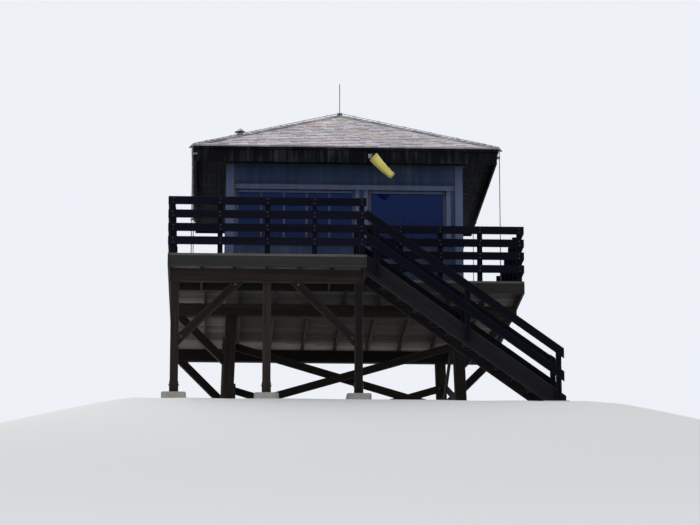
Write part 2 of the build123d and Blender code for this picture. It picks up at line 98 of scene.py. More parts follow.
# %% Place the camera
EYE_LEFT, EYE_IN_FRONT, EYE_BELOW_DECK = 2.41, 56.05, 12.24
AIM_RIGHT, AIM_IN_FRONT, AIM_HEIGHT = 0.15, 1.0, 3.42

eye = middle + Vector((-EYE_LEFT, -EYE_IN_FRONT, deck_top - EYE_BELOW_DECK))
aim = middle + Vector((AIM_RIGHT, -AIM_IN_FRONT, AIM_HEIGHT))
camera_data = bpy.data.cameras.new("long_lens_camera")
camera_data.lens = 158
camera_data.sensor_width = 36
camera_data.clip_end = 400
camera = bpy.data.objects.new("long_lens_camera", camera_data)
camera.location = eye
camera.rotation_euler = (aim - eye).to_track_quat("-Z", "Y").to_euler()
bpy.context.scene.collection.objects.link(camera)
bpy.context.scene.camera = camera
bpy.context.scene.view_settings.view_transform = "Standard"
print("camera to building", round((aim - eye).length, 1), "m")

# %% [markdown]
# A shader is a graph of small nodes, and maths in it is easier to read as Python. This
# class wraps one socket, so that `1 - mask * 0.5` adds the Math nodes itself. The same
# graph could be drawn by hand in the node editor, but a formula is quicker to change.

# %% Write shader maths as Python
class Value:
    def __init__(self, tree, socket):
        self.tree = tree
        self.socket = socket

    def math(self, operation, *terms):
        node = self.tree.nodes.new("ShaderNodeMath")
        node.operation = operation
        for slot, term in zip(node.inputs, terms):
            if isinstance(term, Value):
                self.tree.links.new(term.socket, slot)
            else:
                slot.default_value = term
        return Value(self.tree, node.outputs[0])

    def __add__(self, other):
        return self.math("ADD", self, other)

    def __sub__(self, other):
        return self.math("SUBTRACT", self, other)

    def __rsub__(self, other):
        return self.math("SUBTRACT", other, self)

    def __mul__(self, other):
        return self.math("MULTIPLY", self, other)

    def least(self, other):
        return self.math("MINIMUM", self, other)

    def most(self, other):
        return self.math("MAXIMUM", self, other)

    __radd__ = __add__
    __rmul__ = __mul__


print("a value can be added, subtracted, multiplied and compared")

# %% [markdown]
# Colours are written as they look in a picture, from 0 to 255, and turned into the
# linear numbers that light is worked out in. The curve is that of sRGB, in which most
# pictures are stored: a short straight piece near black, and a power of 2.4 above it.

# %% Turn picture colours into linear ones
def seen(red, green, blue):
    def linear(level):
        level = level / 255
        return level / 12.92 if level <= 0.04045 else ((level + 0.055) / 1.055) ** 2.4

    return (linear(red), linear(green), linear(blue), 1)


print("middle grey is", round(seen(128, 128, 128)[0], 3), "in linear light")

# %% [markdown]
# Each finish is a material with one Principled shader. `add` makes any node: its
# settings come first, because some of them change which sockets the node has. The
# other methods are the few nodes that every finish here uses. Some nodes have several
# sockets of one name, which are then counted from 0.

# %% Build a finish from nodes
MIX_FIRST, MIX_SECOND, MIX_RESULT = 6, 7, 2
ATTRIBUTE_VECTOR = 1
OBJECT_PLACE = 3
SCALE_FACTOR = 3
VECTOR_LENGTH = 1


class Finish:
    def __init__(self, name, **fixed):
        self.material = bpy.data.materials.new(name)
        self.material.use_nodes = True
        self.tree = self.material.node_tree
        self.shader = self.tree.nodes["Principled BSDF"]
        self.feed(**fixed)

    def add(self, kind, settings=None, inputs=None, output=0):
        node = self.tree.nodes.new(kind)
        for key, value in (settings or {}).items():
            if key == "stops":
                self.set_stops(node.color_ramp, value)
            else:
                setattr(node, key, value)
        for key, value in (inputs or {}).items():
            if isinstance(value, Value):
                self.tree.links.new(value.socket, node.inputs[key])
            else:
                node.inputs[key].default_value = value
        return Value(self.tree, node.outputs[output])

    def set_stops(self, ramp, stops):
        while len(ramp.elements) < len(stops):
            ramp.elements.new(1)
        for element, (place, colour) in zip(ramp.elements, stops):
            element.position = place
            element.color = colour

    def noise(self, place, scale, detail=3, roughness=0.55):
        return self.add("ShaderNodeTexNoise", None,
                        {"Vector": place, "Scale": scale, "Detail": detail, "Roughness": roughness})

    def step(self, value, low, high):
        return self.add("ShaderNodeMapRange", {"interpolation_type": "SMOOTHSTEP"},
                        {"Value": value, "From Min": low, "From Max": high})

    def colours(self, value, *stops):
        return self.add("ShaderNodeValToRGB", {"stops": stops}, {"Fac": value})

    def blend(self, first, second, factor):
        return self.add("ShaderNodeMix", {"data_type": "RGBA"},
                        {"Factor": factor, MIX_FIRST: first, MIX_SECOND: second}, MIX_RESULT)

    def shade(self, colour, level):
        grey = self.add("ShaderNodeCombineColor", None, {0: level, 1: level, 2: level})
        return self.add("ShaderNodeMix", {"data_type": "RGBA", "blend_type": "MULTIPLY"},
                        {"Factor": 1.0, MIX_FIRST: colour, MIX_SECOND: grey}, MIX_RESULT)

    def vector(self, operation, first, second=(0, 0, 0)):
        return self.add("ShaderNodeVectorMath", {"operation": operation}, {0: first, 1: second})

    def scaled(self, vector, factor):
        return self.add("ShaderNodeVectorMath", {"operation": "SCALE"}, {0: vector, SCALE_FACTOR: factor})

    def split(self, vector):
        node = self.add("ShaderNodeSeparateXYZ", None, {"Vector": vector}).socket.node
        return [Value(self.tree, socket) for socket in node.outputs]

    def note(self, name):
        return self.add("ShaderNodeAttribute", {"attribute_name": name}, None, ATTRIBUTE_VECTOR)

    def place(self):
        return self.add("ShaderNodeTexCoord", None, None, OBJECT_PLACE)

    def feed(self, **sockets):
        for name, value in sockets.items():
            slot = self.shader.inputs[name.replace("_", " ")]
            if isinstance(value, Value):
                self.tree.links.new(value.socket, slot)
            else:
                slot.default_value = value

    def bump(self, height, strength, distance):
        self.feed(Normal=self.add("ShaderNodeBump", None, {
            "Height": height, "Strength": strength, "Distance": distance}))


# %% [markdown]
# Timber needs grain that runs along each stick, whichever way the stick lies. Every
# timber mesh here carries three notes at each point: `stick`, where the point is on its
# own stick (along, across, through), `halves`, half the stick's size, and `luck`, a
# random vector for the whole stick. The distance to the nearest arris comes from the
# first two, so that wear follows real edges, and end grain darkens where water gets in.
# Luck moves the pattern along by a whole length, so that no two sticks are alike.
# Painted timber has streaks where rain runs down, and flakes first on its arrises.

# %% Make timber finishes
PATTERN_SHIFT = 40
FIBRE_GRAIN = (1.6, 70, 70)
FIGURE_GRAIN = (0.5, 11, 11)
CHECK_GRAIN = (1.1, 95, 95)
RAIN_STREAKS = (13, 13, 0.7)
WORN_ARRIS = 0.012
SOAKED_END = 0.12
CHALK = seen(112, 118, 128)
SOAKED = seen(18, 16, 15)
CHECK_DIRT_AND_SHADE = seen(12, 11, 11)


def timber_finish(name, stops, bare, paint=None, worn=0.5, gloss=0.3):
    finish = Finish(name, Specular_IOR_Level=gloss)
    stick = finish.note("stick")
    luck_x, luck_y = finish.split(finish.note("luck"))[:2]
    shifted = finish.vector("ADD", stick, finish.scaled(finish.note("luck"), PATTERN_SHIFT))

    fibres = finish.noise(finish.vector("MULTIPLY", shifted, FIBRE_GRAIN), 1, 5, 0.62)
    figure = finish.noise(finish.vector("MULTIPLY", shifted, FIGURE_GRAIN), 1)
    cracks = finish.noise(finish.vector("MULTIPLY", shifted, CHECK_GRAIN), 1, 2)
    check = finish.step(cracks, 0.66, 0.71)
    patches = finish.noise(finish.place(), 1.1, 4, 0.6)
    tone = fibres * 0.45 + figure * 0.35 + luck_x * 0.3 + patches * 0.2 - 0.16
    dark, mid, pale = stops
    wood = finish.colours(tone, (0.25, dark), (0.5, mid), (0.78, pale))

    inwards = finish.vector("SUBTRACT", finish.note("halves"), finish.vector("ABSOLUTE", stick))
    along, across, through = finish.split(inwards)
    arris = along.least(across).most(along.most(across).least(through))
    ragged = arris + (patches - 0.5) * 0.03 + (fibres - 0.5) * 0.012
    scuffed = finish.step(ragged, WORN_ARRIS, 0.0)
    soaked = finish.step(along, SOAKED_END, 0.0) * 0.35

    if paint:
        streaks = finish.noise(finish.vector("MULTIPLY", finish.place(), RAIN_STREAKS), 1, 3, 0.6)
        chalky = finish.step(streaks * 0.6 + patches * 0.5, 0.52, 0.74)
        level = (0.80 + luck_y * 0.16 + (patches - 0.5) * 0.5 + (streaks - 0.5) * 0.4
                 + (figure - 0.5) * 0.16)
        colour = finish.blend(finish.shade(paint, level), CHALK, chalky * 0.22)
        flaked = finish.step(fibres * 0.6 + patches * 0.6 + scuffed * 0.34 * worn,
                             0.77 - 0.1 * worn, 0.85 - 0.1 * worn)
        colour = finish.blend(colour, wood, flaked)
    else:
        colour = finish.blend(wood, bare, scuffed * 0.5 * worn)
    colour = finish.blend(colour, SOAKED, soaked)
    # Checks are darkened with dirt and with painted shade inside the cracks.
    colour = finish.blend(colour, CHECK_DIRT_AND_SHADE, check * (0.2 if paint else 0.6))
    finish.feed(Base_Color=colour, Roughness=0.8 + (fibres - 0.5) * 0.2)
    finish.bump(fibres * 0.5 + figure * 0.3 - check * 0.8, 0.5, 0.002)
    return finish.material


print("timber finishes shift their pattern by up to", PATTERN_SHIFT, "m from stick to stick")

# %% [markdown]
# A kind of timber has three shades for its grain, one for the bare wood on its worn arrises, and a paint or
# none. The frame's dark brown is painted shade, the shade under the deck. The railings are a dark stain,
# and their near-black with a blue cast is painted shade on top of it. The decks have silvered. Paint goes
# over weathered wood, which shows where it has flaked.

# %% Mix the timber's colours
def shades(dark, mid, pale):
    return seen(*dark), seen(*mid), seen(*pale)


# The frame's dark brown is painted shade: the shade under the deck.
frame_finish = timber_finish("frame_timber_painted_shade", shades((17, 14, 13), (34, 29, 26), (60, 53, 48)),
                             seen(92, 83, 75), gloss=0.15)
# The rim's dark grey is weathered wood darkened with painted shade, the shade of the front.
rim_finish = timber_finish("grey_rim_board_painted_shade", shades((24, 23, 23), (38, 37, 37), (58, 57, 56)),
                           seen(92, 88, 83))
deck_finish = timber_finish("silvered_deck_board", shades((58, 53, 49), (92, 87, 81), (128, 122, 114)),
                            seen(142, 134, 122))
# The rail's near-black with a blue cast is painted shade over a dark stain.
rail_finish = timber_finish("stain_and_painted_shade_rail", shades((5, 6, 16), (9, 11, 25), (20, 21, 37)),
                            seen(52, 50, 58), gloss=0.08)
stair_finish = timber_finish("stained_stair", shades((18, 17, 21), (34, 32, 36), (58, 55, 56)),
                             seen(96, 89, 82), gloss=0.15)
floor_finish = timber_finish("worn_floor", shades((70, 50, 34), (112, 84, 58), (150, 118, 86)),
                             seen(164, 138, 108))
# The underfloor's dark brown is painted shade: the shade under the deck.
subfloor_finish = timber_finish("raw_underfloor_painted_shade", shades((31, 25, 21), (50, 41, 34), (75, 64, 54)),
                                seen(90, 77, 65))

weathered = shades((54, 50, 48), (88, 84, 80), (120, 114, 108))
# The siding, trim and sash paints are darkened and given a blue cast, which is painted shade: the shade the
# front stands in under the eaves.
siding_finish = timber_finish("slate_siding_painted_shade", weathered, seen(120, 114, 108), seen(54, 75, 108))
bare_trim = seen(130, 124, 116)
trim_finish = timber_finish("trim_colour_painted_shade", weathered, bare_trim, seen(99, 113, 149), worn=0.7)
sash_finish = timber_finish("sash_colour_painted_shade", weathered, bare_trim, seen(90, 100, 130), worn=0.7)
door_finish = timber_finish("door_paint", weathered, bare_trim, seen(70, 82, 108), worn=0.7)
inside_finish = timber_finish("cream_inside", weathered, seen(150, 140, 124), seen(176, 168, 146), worn=0.2)

shaded = shades((30, 28, 27), (46, 43, 41), (66, 62, 58))
# The fascia's near-black with a blue cast is dark paint with painted shade on top.
fascia_finish = timber_finish("dark_fascia_painted_shade", shaded, seen(70, 66, 62), seen(11, 11, 16), gloss=0.1)
# The soffit's near-black is painted shade: the shade under the eaves.
soffit_finish = timber_finish("soffit_painted_shade", shaded, seen(84, 80, 76), seen(27, 28, 34), 0.4, 0.1)
print("timber finishes, from", frame_finish.name, "to", soffit_finish.name)

# %% [markdown]
# Cedar shingles silver unevenly: some stay pink where the heartwood shows, some turn
# tan with lichen, and each is darkest at its butt, where the water hangs. The shade of
# one shingle comes from its luck and the larger patches from its place on the roof.

# %% Make the shingle finish
SHINGLE_GRAIN = (4, 120, 120)
BUTT_STAIN = 0.035


def shingle_finish(name, stops):
    finish = Finish(name, Specular_IOR_Level=0.25)
    stick = finish.note("stick")
    luck_x, luck_y, luck_z = finish.split(finish.note("luck"))
    shifted = finish.vector("ADD", stick, finish.scaled(finish.note("luck"), PATTERN_SHIFT))
    fibres = finish.noise(finish.vector("MULTIPLY", shifted, SHINGLE_GRAIN), 1, 5, 0.6)
    patches = finish.noise(finish.place(), 0.9, 4, 0.6)
    broad = finish.noise(finish.vector("ADD", finish.place(), (7, 3, 1)), 0.7, 3)
    fine = finish.noise(finish.place(), 14, 4, 0.6)

    dark, mid, pale = stops
    grey = finish.colours(fibres * 0.5 + luck_x * 0.35 + patches * 0.3 - 0.08,
                          (0.25, dark), (0.5, mid), (0.75, pale))
    warm_patch = finish.step(luck_y * 0.35 + broad, 0.66, 0.86)
    pink = finish.blend(grey, seen(190, 164, 160), warm_patch * 0.5)
    lichen_patch = finish.step(fine * 0.45 + patches + luck_z * 0.15, 0.84, 1.0)
    tan = finish.blend(pink, seen(170, 165, 144), lichen_patch * 0.5)
    from_butt = finish.split(stick)[0] + finish.split(finish.note("halves"))[0]
    butt_stain = finish.step(from_butt, BUTT_STAIN, 0.0)
    level = 1.0 + (broad - 0.5) * 0.8 + (patches - 0.5) * 0.3
    colour = finish.blend(finish.shade(tan, level), seen(112, 107, 107), butt_stain * 0.3)
    finish.feed(Base_Color=colour, Roughness=0.88 + (fibres - 0.5) * 0.15)
    finish.bump(fibres * 0.6 + fine * 0.2, 0.6, 0.003)
    return finish.material


roof_finish = shingle_finish("silvered_cedar", shades((146, 143, 149), (193, 190, 197), (217, 216, 225)))
cap_finish = shingle_finish("dark_cedar_caps", shades((84, 86, 98), (118, 120, 134), (150, 150, 162)))
print("shingle finishes", roof_finish.name, "and", cap_finish.name)

# %% [markdown]
# The other finishes have no grain and take their patterns from the place on the object:
# metal with broad stains, concrete that is damp near the ground, and glass with dust.
# The glass's base colour is a painted reflection of a blue sky: nearly black navy, painted a brighter blue
# towards the head of the window, and its reflections are tinted blue as well.

# %% Make metal, concrete and glass finishes
DAMP_HEIGHT = 0.1
PAINTED_SKY_LOW, PAINTED_SKY_HIGH = 3.6, 4.45


def metal_finish(name, clean, stained, rough):
    finish = Finish(name)
    broad = finish.noise(finish.place(), 5, 4)
    fine = finish.noise(finish.place(), 60, 3)
    stain = finish.step(broad + (fine - 0.5) * 0.5, 0.5, 0.68)
    finish.feed(Base_Color=finish.blend(clean, stained, stain), Roughness=rough + stain * 0.3,
                Metallic=0.9 - stain * 0.5)
    finish.bump(fine, 0.2, 0.001)
    return finish.material


def concrete_finish():
    finish = Finish("board_marked_concrete")
    broad = finish.noise(finish.place(), 3, 5, 0.65)
    grit = finish.noise(finish.place(), 90, 3, 0.7)
    height = finish.split(finish.place())[2]
    damp = finish.step(height + (broad - 0.5) * 0.12, DAMP_HEIGHT, 0.0)
    colour = finish.colours(broad * 0.7 + grit * 0.4,
                            (0.3, seen(128, 124, 118)), (0.7, seen(186, 182, 174)))
    colour = finish.blend(colour, seen(92, 86, 78), damp * 0.6)
    finish.feed(Base_Color=colour, Roughness=0.9 + (grit - 0.5) * 0.1)
    finish.bump(grit * 0.7 + broad * 0.5, 0.6, 0.004)
    return finish.material


def glass_finish():
    # The blue specular tint is painted sky colour in the glass's reflections.
    finish = Finish("old_window_glass", IOR=1.5, Specular_Tint=(0.2, 0.36, 0.95, 1))
    wave = finish.noise(finish.vector("MULTIPLY", finish.place(), (3, 3, 1.2)), 1, 2)
    dust = finish.noise(finish.place(), 7, 5, 0.7)
    height = finish.split(finish.place())[2]
    # Painted reflection: a navy base colour, brighter blue towards the head, stands for the blue sky seen
    # in the glass.
    colour = finish.blend(seen(8, 14, 44), seen(14, 26, 80), finish.step(height, PAINTED_SKY_LOW, PAINTED_SKY_HIGH))
    film = finish.step(dust, 0.52, 0.8) * 0.22
    finish.feed(Base_Color=finish.blend(colour, seen(70, 76, 92), film), Roughness=0.05 + film * 0.8,
                Alpha=0.86 + film * 0.4)
    finish.bump(wave, 0.25, 0.01)
    return finish.material


zinc_finish = metal_finish("weathered_zinc", seen(150, 153, 158), seen(104, 106, 110), 0.38)
flue_finish = metal_finish("sooty_flue", seen(96, 96, 98), seen(38, 34, 32), 0.5)
bolt_finish = metal_finish("rusty_bolt", seen(92, 84, 80), seen(84, 54, 40), 0.6)
copper_finish = metal_finish("dull_conductor", seen(120, 122, 128), seen(84, 88, 92), 0.45)
footing_finish = concrete_finish()
pane_finish = glass_finish()
print("other finishes, from", zinc_finish.name, "to", pane_finish.name)

# %% [markdown]
# A stick of timber is a box with its sharp edges, the arrises, taken off. `Lumber`
# gathers many of them into one mesh, which renders and exports faster than many
# objects do. It writes the three notes as it goes. `prism` is the general form, for
# shingles and plates whose outline isn't a rectangle, and `disc` makes the heads of
# nails and bolts from a radius, a height and a number of sides. A stick's ends may be
# mitred: the sign says which edge is longer.

# %% Gather sticks of timber into one mesh
class Lumber:
    def __init__(self, seed):
        self.points = []
        self.faces = []
        self.notes = {"stick": [], "halves": [], "luck": []}
        self.random = random.Random(seed)

    def draw_luck(self):
        return [self.random.random() for axis in range(3)]

    def add_point(self, point, place, halves, luck):
        self.points.append(point)
        self.notes["stick"].append(place)
        self.notes["halves"].append(halves)
        self.notes["luck"].append(luck)

    def close(self, first, sides):
        for i in range(sides):
            j = (i + 1) % sides
            self.faces.append((first + i, first + j, first + sides + j, first + sides + i))
        self.faces.append([first + i for i in reversed(range(sides))])
        self.faces.append([first + sides + i for i in range(sides)])

    def stick(self, centre, along, across, length, width, thick, mitre_start=0, mitre_end=0, arris=0.003):
        along = Vector(along).normalized()
        across = Vector(across).normalized()
        through = along.cross(across)
        luck = self.draw_luck()
        y, z = width / 2, thick / 2
        a = min(arris, y * 0.4, z * 0.4)
        ring = [(-y + a, -z), (y - a, -z), (y, -z + a), (y, z - a),
                (y - a, z), (-y + a, z), (-y, z - a), (-y, -z + a)]
        first = len(self.points)
        for side, mitre in ((-1, mitre_start), (1, mitre_end)):
            for v, w in ring:
                x = side * length / 2 + mitre * v
                self.add_point(centre + along * x + across * v + through * w, (x, v, w),
                               (length / 2, y, z), luck)
        self.close(first, len(ring))

    def prism(self, lower, upper, places, halves):
        luck = self.draw_luck()
        first = len(self.points)
        for points, side in ((lower, -1), (upper, 1)):
            for point, place in zip(points, places):
                self.add_point(point, (place[0], place[1], side * halves[2]), halves, luck)
        self.close(first, len(lower))

    def disc(self, centre, axis, radius, height, sides=10, taper=0.9):
        axis = Vector(axis).normalized()
        one = axis.orthogonal().normalized()
        two = axis.cross(one)
        turns = [2 * math.pi * i / sides for i in range(sides)]
        ring = [one * math.cos(turn) * radius + two * math.sin(turn) * radius for turn in turns]
        self.prism([centre + spoke for spoke in ring],
                   [centre + spoke * taper + axis * height for spoke in ring],
                   [(spoke.dot(one), spoke.dot(two)) for spoke in ring], (radius, radius, height / 2))

    def build(self, name, finish, slot, *stands_for):
        mesh = bpy.data.meshes.new(name)
        mesh.from_pydata(self.points, [], self.faces)
        for key, values in self.notes.items():
            write_note(mesh, key, "POINT", values)
        return fitted(name, mesh, finish, slot, *stands_for)


def write_note(mesh, key, domain, values):
    layer = mesh.attributes.new(key, "FLOAT_VECTOR", domain)
    layer.data.foreach_set("vector", [number for value in values for number in value])


sample = Lumber(0)
sample.stick(Vector((0, 0, 0)), (1, 0, 0), (0, 1, 0), 2, 0.14, 0.038)
print("one stick has", len(sample.points), "corners and", len(sample.faces), "faces")

# %% [markdown]
# Every piece is set up in the same way: it gets its finish, it rides on the part's only body, and the nodes
# of the model that it stands for, if any, are hidden.

# %% Hand a piece over
def fitted(name, mesh, finish, slot, *stands_for):
    mesh.materials.clear()
    mesh.materials.append(finish)
    piece = bpy.data.objects.new(name, mesh)
    bpy.context.scene.collection.objects.link(piece)
    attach(piece, "root")
    if stands_for:
        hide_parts(*stands_for)
    print(name, len(mesh.polygons), "faces")
    return piece


print("nodes that pieces can stand for:", ", ".join(nodes))

# %% [markdown]
# The building is alike on its four sides, so most pieces are laid out once for the front
# and turned. `turned` takes a number of quarter turns and a point of the front, measured
# from the middle of the building: 0 leaves it at the front, 1 takes it to the right
# side, 2 to the rear and 3 to the left. `facing` undoes that, so that any wall can be
# measured as if it were the front.

# %% Turn places round the building
QUARTERS = {"front": 0, "right": 1, "rear": 2, "left": 3}


def turned(quarter, x, y, z=0.0):
    for step in range(quarter):
        x, y = -y, x
    return Vector((x, y, z))


def around(quarter, x, y, z):
    return middle + turned(quarter, x, y, z)


def facing(quarter, point):
    return turned((4 - quarter) % 4, *(point - middle))


def corners_of(points):
    low = Vector([min(point[k] for point in points) for k in range(3)])
    high = Vector([max(point[k] for point in points) for k in range(3)])
    return low, high


print("left wall's middle", [round(number, 2) for number in around(3, 0, -cab_half, 0)])

# %% [markdown]
# The roof is four triangles of shingles. Each shingle is a tapered plate, thick at the
# butt and thin at its head, and the next course lies on the head. An array would repeat
# one row exactly. Here each shingle gets its own width, thickness and small slip, and
# its outline is clipped where the hip cuts it. A place on a slope is given as u along
# the eave and v up the slope.

# %% Find the slopes
slope_face = max(nodes["roof_front"].data.polygons, key=lambda face: face.area * (face.normal.z > 0))
pitch = math.atan2(-slope_face.normal.y, slope_face.normal.z)
slope_length = roof_half / math.cos(pitch)
eave_level = roof_high.z - roof_half * math.tan(pitch)
print("pitch", round(math.degrees(pitch), 1), "degrees, slope", round(slope_length, 2), "m long")


def on_roof(quarter, u, v, lift):
    return around(quarter, u, -roof_half + v * math.cos(pitch) - lift * math.sin(pitch),
                  eave_level + v * math.sin(pitch) + lift * math.cos(pitch))


def clip(outline, reach):
    kept = []
    for here, after in zip(outline, outline[1:] + outline[:1]):
        a, b = reach(here), reach(after)
        if a >= 0:
            kept.append(here)
        if a * b < 0:
            kept.append(here + (after - here) * (a / (a - b)))
    return kept


# %% [markdown]
# The first course is doubled and hangs over the eave by a finger's width. One shingle in
# twenty-five has curled and lifts its butt. Every row starts and ends beyond the hips,
# and the clipping trims it.

# %% Lay the shingles
EXPOSURE = 0.15
SHINGLE_LENGTH = EXPOSURE * 1.5
SHINGLE_WIDTHS = 0.09, 0.21
SHINGLE_GAPS = 0.003, 0.006
EAVE_OVERHANG = 0.025
BUTT_THICK, HEAD_THICK = 0.015, 0.003
SLIP = 0.003
DOUBLED = 1.6
CURLED_SHARE, CURL = 0.04, 0.006
ROOF_GAP = 0.001


def lay_shingle(course, quarter, u, v, width, lift):
    outline = [Vector((u, v)), Vector((u + width, v)),
               Vector((u + width, v + SHINGLE_LENGTH)), Vector((u, v + SHINGLE_LENGTH))]
    for side in (-1, 1):
        outline = clip(outline, lambda spot: roof_half - spot.y * math.cos(pitch) + side * spot.x)
    if len(outline) < 3:
        return
    rises = [lift * (1 - (spot.y - v) / SHINGLE_LENGTH) + HEAD_THICK for spot in outline]
    course.prism([on_roof(quarter, spot.x, spot.y, ROOF_GAP) for spot in outline],
                 [on_roof(quarter, spot.x, spot.y, rise) for spot, rise in zip(outline, rises)],
                 [(spot.y - v - SHINGLE_LENGTH / 2, spot.x - u - width / 2) for spot in outline],
                 (SHINGLE_LENGTH / 2, width / 2, lift / 2))


def shingle_slope(quarter, name):
    course = Lumber(40 + quarter)
    draw = course.random
    for row in range(int(slope_length / EXPOSURE) + 1):
        v = row * EXPOSURE - EAVE_OVERHANG
        reach = roof_half - v * math.cos(pitch)
        u = -reach - draw.uniform(0, EXPOSURE)
        while u < reach:
            width = draw.uniform(*SHINGLE_WIDTHS)
            slip = draw.gauss(0, SLIP) if row else 0
            lift = BUTT_THICK * draw.uniform(0.8, 1.2) * (1 if row else DOUBLED)
            if draw.random() < CURLED_SHARE:
                lift += CURL
            lay_shingle(course, quarter, u, v + slip, width, lift)
            u += width + draw.uniform(*SHINGLE_GAPS)
    return course.build(name, roof_finish, "roof_shingle")


for side, quarter in QUARTERS.items():
    shingle_slope(quarter, "shingles_" + side)

# %% [markdown]
# Each hip is covered with pairs of narrow shingles, lapped from the eave up to the
# apex. Lifting them straight up, and not square to the slope, makes the two of a pair
# meet exactly over the hip.

# %% Cap the hips
CAP_BELOW, CAP_ABOVE, CAP_BUTT_RISE = 0.004, 0.021, 0.010
CAP_HALF_THICK = 0.012


def cap_shingle(caps, quarter, mirror, corners, length, width):
    lower = []
    upper = []
    for spot, at_butt in corners:
        base = on_roof(quarter, mirror * spot.x, spot.y, 0)
        lower.append(base + Vector((0, 0, CAP_BELOW)))
        upper.append(base + Vector((0, 0, CAP_ABOVE + CAP_BUTT_RISE * at_butt)))
    x, y = length / 2, width / 2
    places = [(-x, -y), (x, -y), (x, y), (-x, y)]
    if mirror < 0:
        for marks in (lower, upper, places):
            marks.reverse()
    caps.prism(lower, upper, places, (x, y, CAP_HALF_THICK))


def cap_hips(width=0.115, step=0.16, lap=1.35, overhang=0.01):
    caps = Lumber(50)
    hip_start = Vector((roof_half, 0))
    hip_end = Vector((0, slope_length))
    uphill = (hip_end - hip_start).normalized()
    inwards = Vector((-uphill.y, uphill.x)) * width
    length = step * lap
    for quarter in range(4):
        for mirror in (1, -1):
            for i in range(int((hip_end - hip_start).length / step)):
                start = hip_start + uphill * (i * step - overhang)
                head = start + uphill * length
                corners = [(start, 1), (head, 0), (head + inwards, 0), (start + inwards, 1)]
                cap_shingle(caps, quarter, mirror, corners, length, width)
    return caps.build("hip_cap_shingles", cap_finish, "roof_shingle", "hip_caps")


cap_hips()

# %% [markdown]
# The eaves are boxed in: four mitred fascia boards on edge, and narrow matched boards
# under the rafters, also mitred at the corners. A dark gap between them is real here,
# since each board is its own box. The soffit lies higher than the fascia's lower edge,
# which hides most of it from below and in front.

# %% Box in the eaves
fascia_low, fascia_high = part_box("fascia")
fascia_half = (fascia_high.x - fascia_low.x) / 2
fascia_thick = fascia_half - (soffit_high.x - soffit_low.x) / 2


def board_fascia():
    boards = Lumber(60)
    tall = roof_low.z - fascia_low.z
    for quarter in range(4):
        centre = around(quarter, 0, -fascia_half + fascia_thick / 2, fascia_low.z + tall / 2)
        boards.stick(centre, turned(quarter, 1, 0), turned(quarter, 0, -1),
                     2 * fascia_half - fascia_thick, fascia_thick, tall, -1, 1)
    return boards.build("fascia_boards", fascia_finish, "fascia_paint", "fascia")


def board_soffit(count=6, gap=0.003, arris=0.004):
    strips = Lumber(61)
    width = (fascia_half - fascia_thick - cab_half) / count
    for quarter in range(4):
        for i in range(count):
            out = cab_half + (i + 0.5) * width
            centre = around(quarter, 0, -out, (soffit_low.z + soffit_high.z) / 2)
            strips.stick(centre, turned(quarter, 1, 0), turned(quarter, 0, -1), 2 * out, width - gap,
                         soffit_high.z - soffit_low.z, -1, 1, arris)
    return strips.build("soffit_boards", soffit_finish, "soffit_paint", "soffit")


board_fascia()
board_soffit()

# %% [markdown]
# A node of the model may hold several solids, such as the four legs or the casings of
# all windows. They are told apart by their faces: the model stores one solid after
# another, and a solid is whole when each side of a face has met the same side of a
# neighbour. Splitting by loose parts would join solids that touch.

# %% Tell a node's solids apart
def shells(node):
    mesh = nodes[node].data
    found, unmet, index, points, faces = [], set(), {}, [], []
    for face in mesh.polygons:
        corners = []
        for i in face.vertices:
            key = tuple(round(number, 4) for number in mesh.vertices[i].co)
            if key not in index:
                index[key] = len(points)
                points.append(mesh.vertices[i].co.copy())
            corners.append(index[key])
        corners = list(dict.fromkeys(corners))
        if len(corners) < 3:
            continue
        faces.append(corners)
        for side in zip(corners, corners[1:] + corners[:1]):
            unmet ^= {side[::-1]} if side[::-1] in unmet else {side}
        if not unmet:
            found.append((points, faces))
            index, points, faces = {}, [], []
    return found


def solids(node):
    return [points for points, faces in shells(node)]


def marks_along(points, axis):
    return sorted({round(point[axis], 4) for point in points})


print("solids", sum(len(shells(node)) for node in nodes), "in", len(nodes), "nodes")

# %% [markdown]
# Walls are wide boards set upright with narrow battens over their joints. The model's
# wall stays behind them as the dark core. The boards stop at the window casings, so
# every board is cut into the lengths that are left above and below them. Each batten
# is nailed, and the heads are too small for anything but real discs to look right.

# %% Side the walls
BOARD_THICK, BATTEN_THICK = 0.010, 0.008
BATTEN_WIDTH = 0.045
BATTEN_NAIL = 0.004, 0.001, 6
BOARD_GAP = 0.004
SHORTEST_BOARD = 0.01


def wall_view(quarter, points):
    return corners_of([facing(quarter, point) for point in points])


def spans_left(low, high, holes):
    spans = [(low, high)]
    for start, end in holes:
        cut = []
        for a, b in spans:
            cut += [(a, min(b, start)), (max(a, end), b)]
        spans = [(a, b) for a, b in cut if b - a > SHORTEST_BOARD]
    return spans


def corner_edge():
    starts = [wall_view(0, points)[0].x for points in solids("corner_boards")]
    return min(start for start in starts if start > 0)


def trim_on_wall(quarter, touch=0.01):
    views = [wall_view(quarter, points) for points in solids("window_casings") + solids("door_frame")]
    return [(low, high) for low, high in views if low.y < -cab_half + touch and high.y < 0]


def clear_lengths(trims, u, width, lap=0.005, foot=0.006, top_gap=0.002):
    blocked = [(low.z, high.z) for low, high in trims
               if low.x < u + width / 2 - lap and high.x > u - width / 2 + lap]
    return spans_left(deck_top + foot, soffit_level - top_gap, blocked)


def nail_batten(nails, quarter, u, bottom, top, nail_step=0.38):
    rows = max(1, round((top - bottom) / nail_step))
    for row in range(rows):
        z = bottom + (row + 0.5) * (top - bottom) / rows
        spot = around(quarter, u, -cab_half - BOARD_THICK - BATTEN_THICK, z)
        nails.disc(spot, turned(quarter, 0, -1), *BATTEN_NAIL)


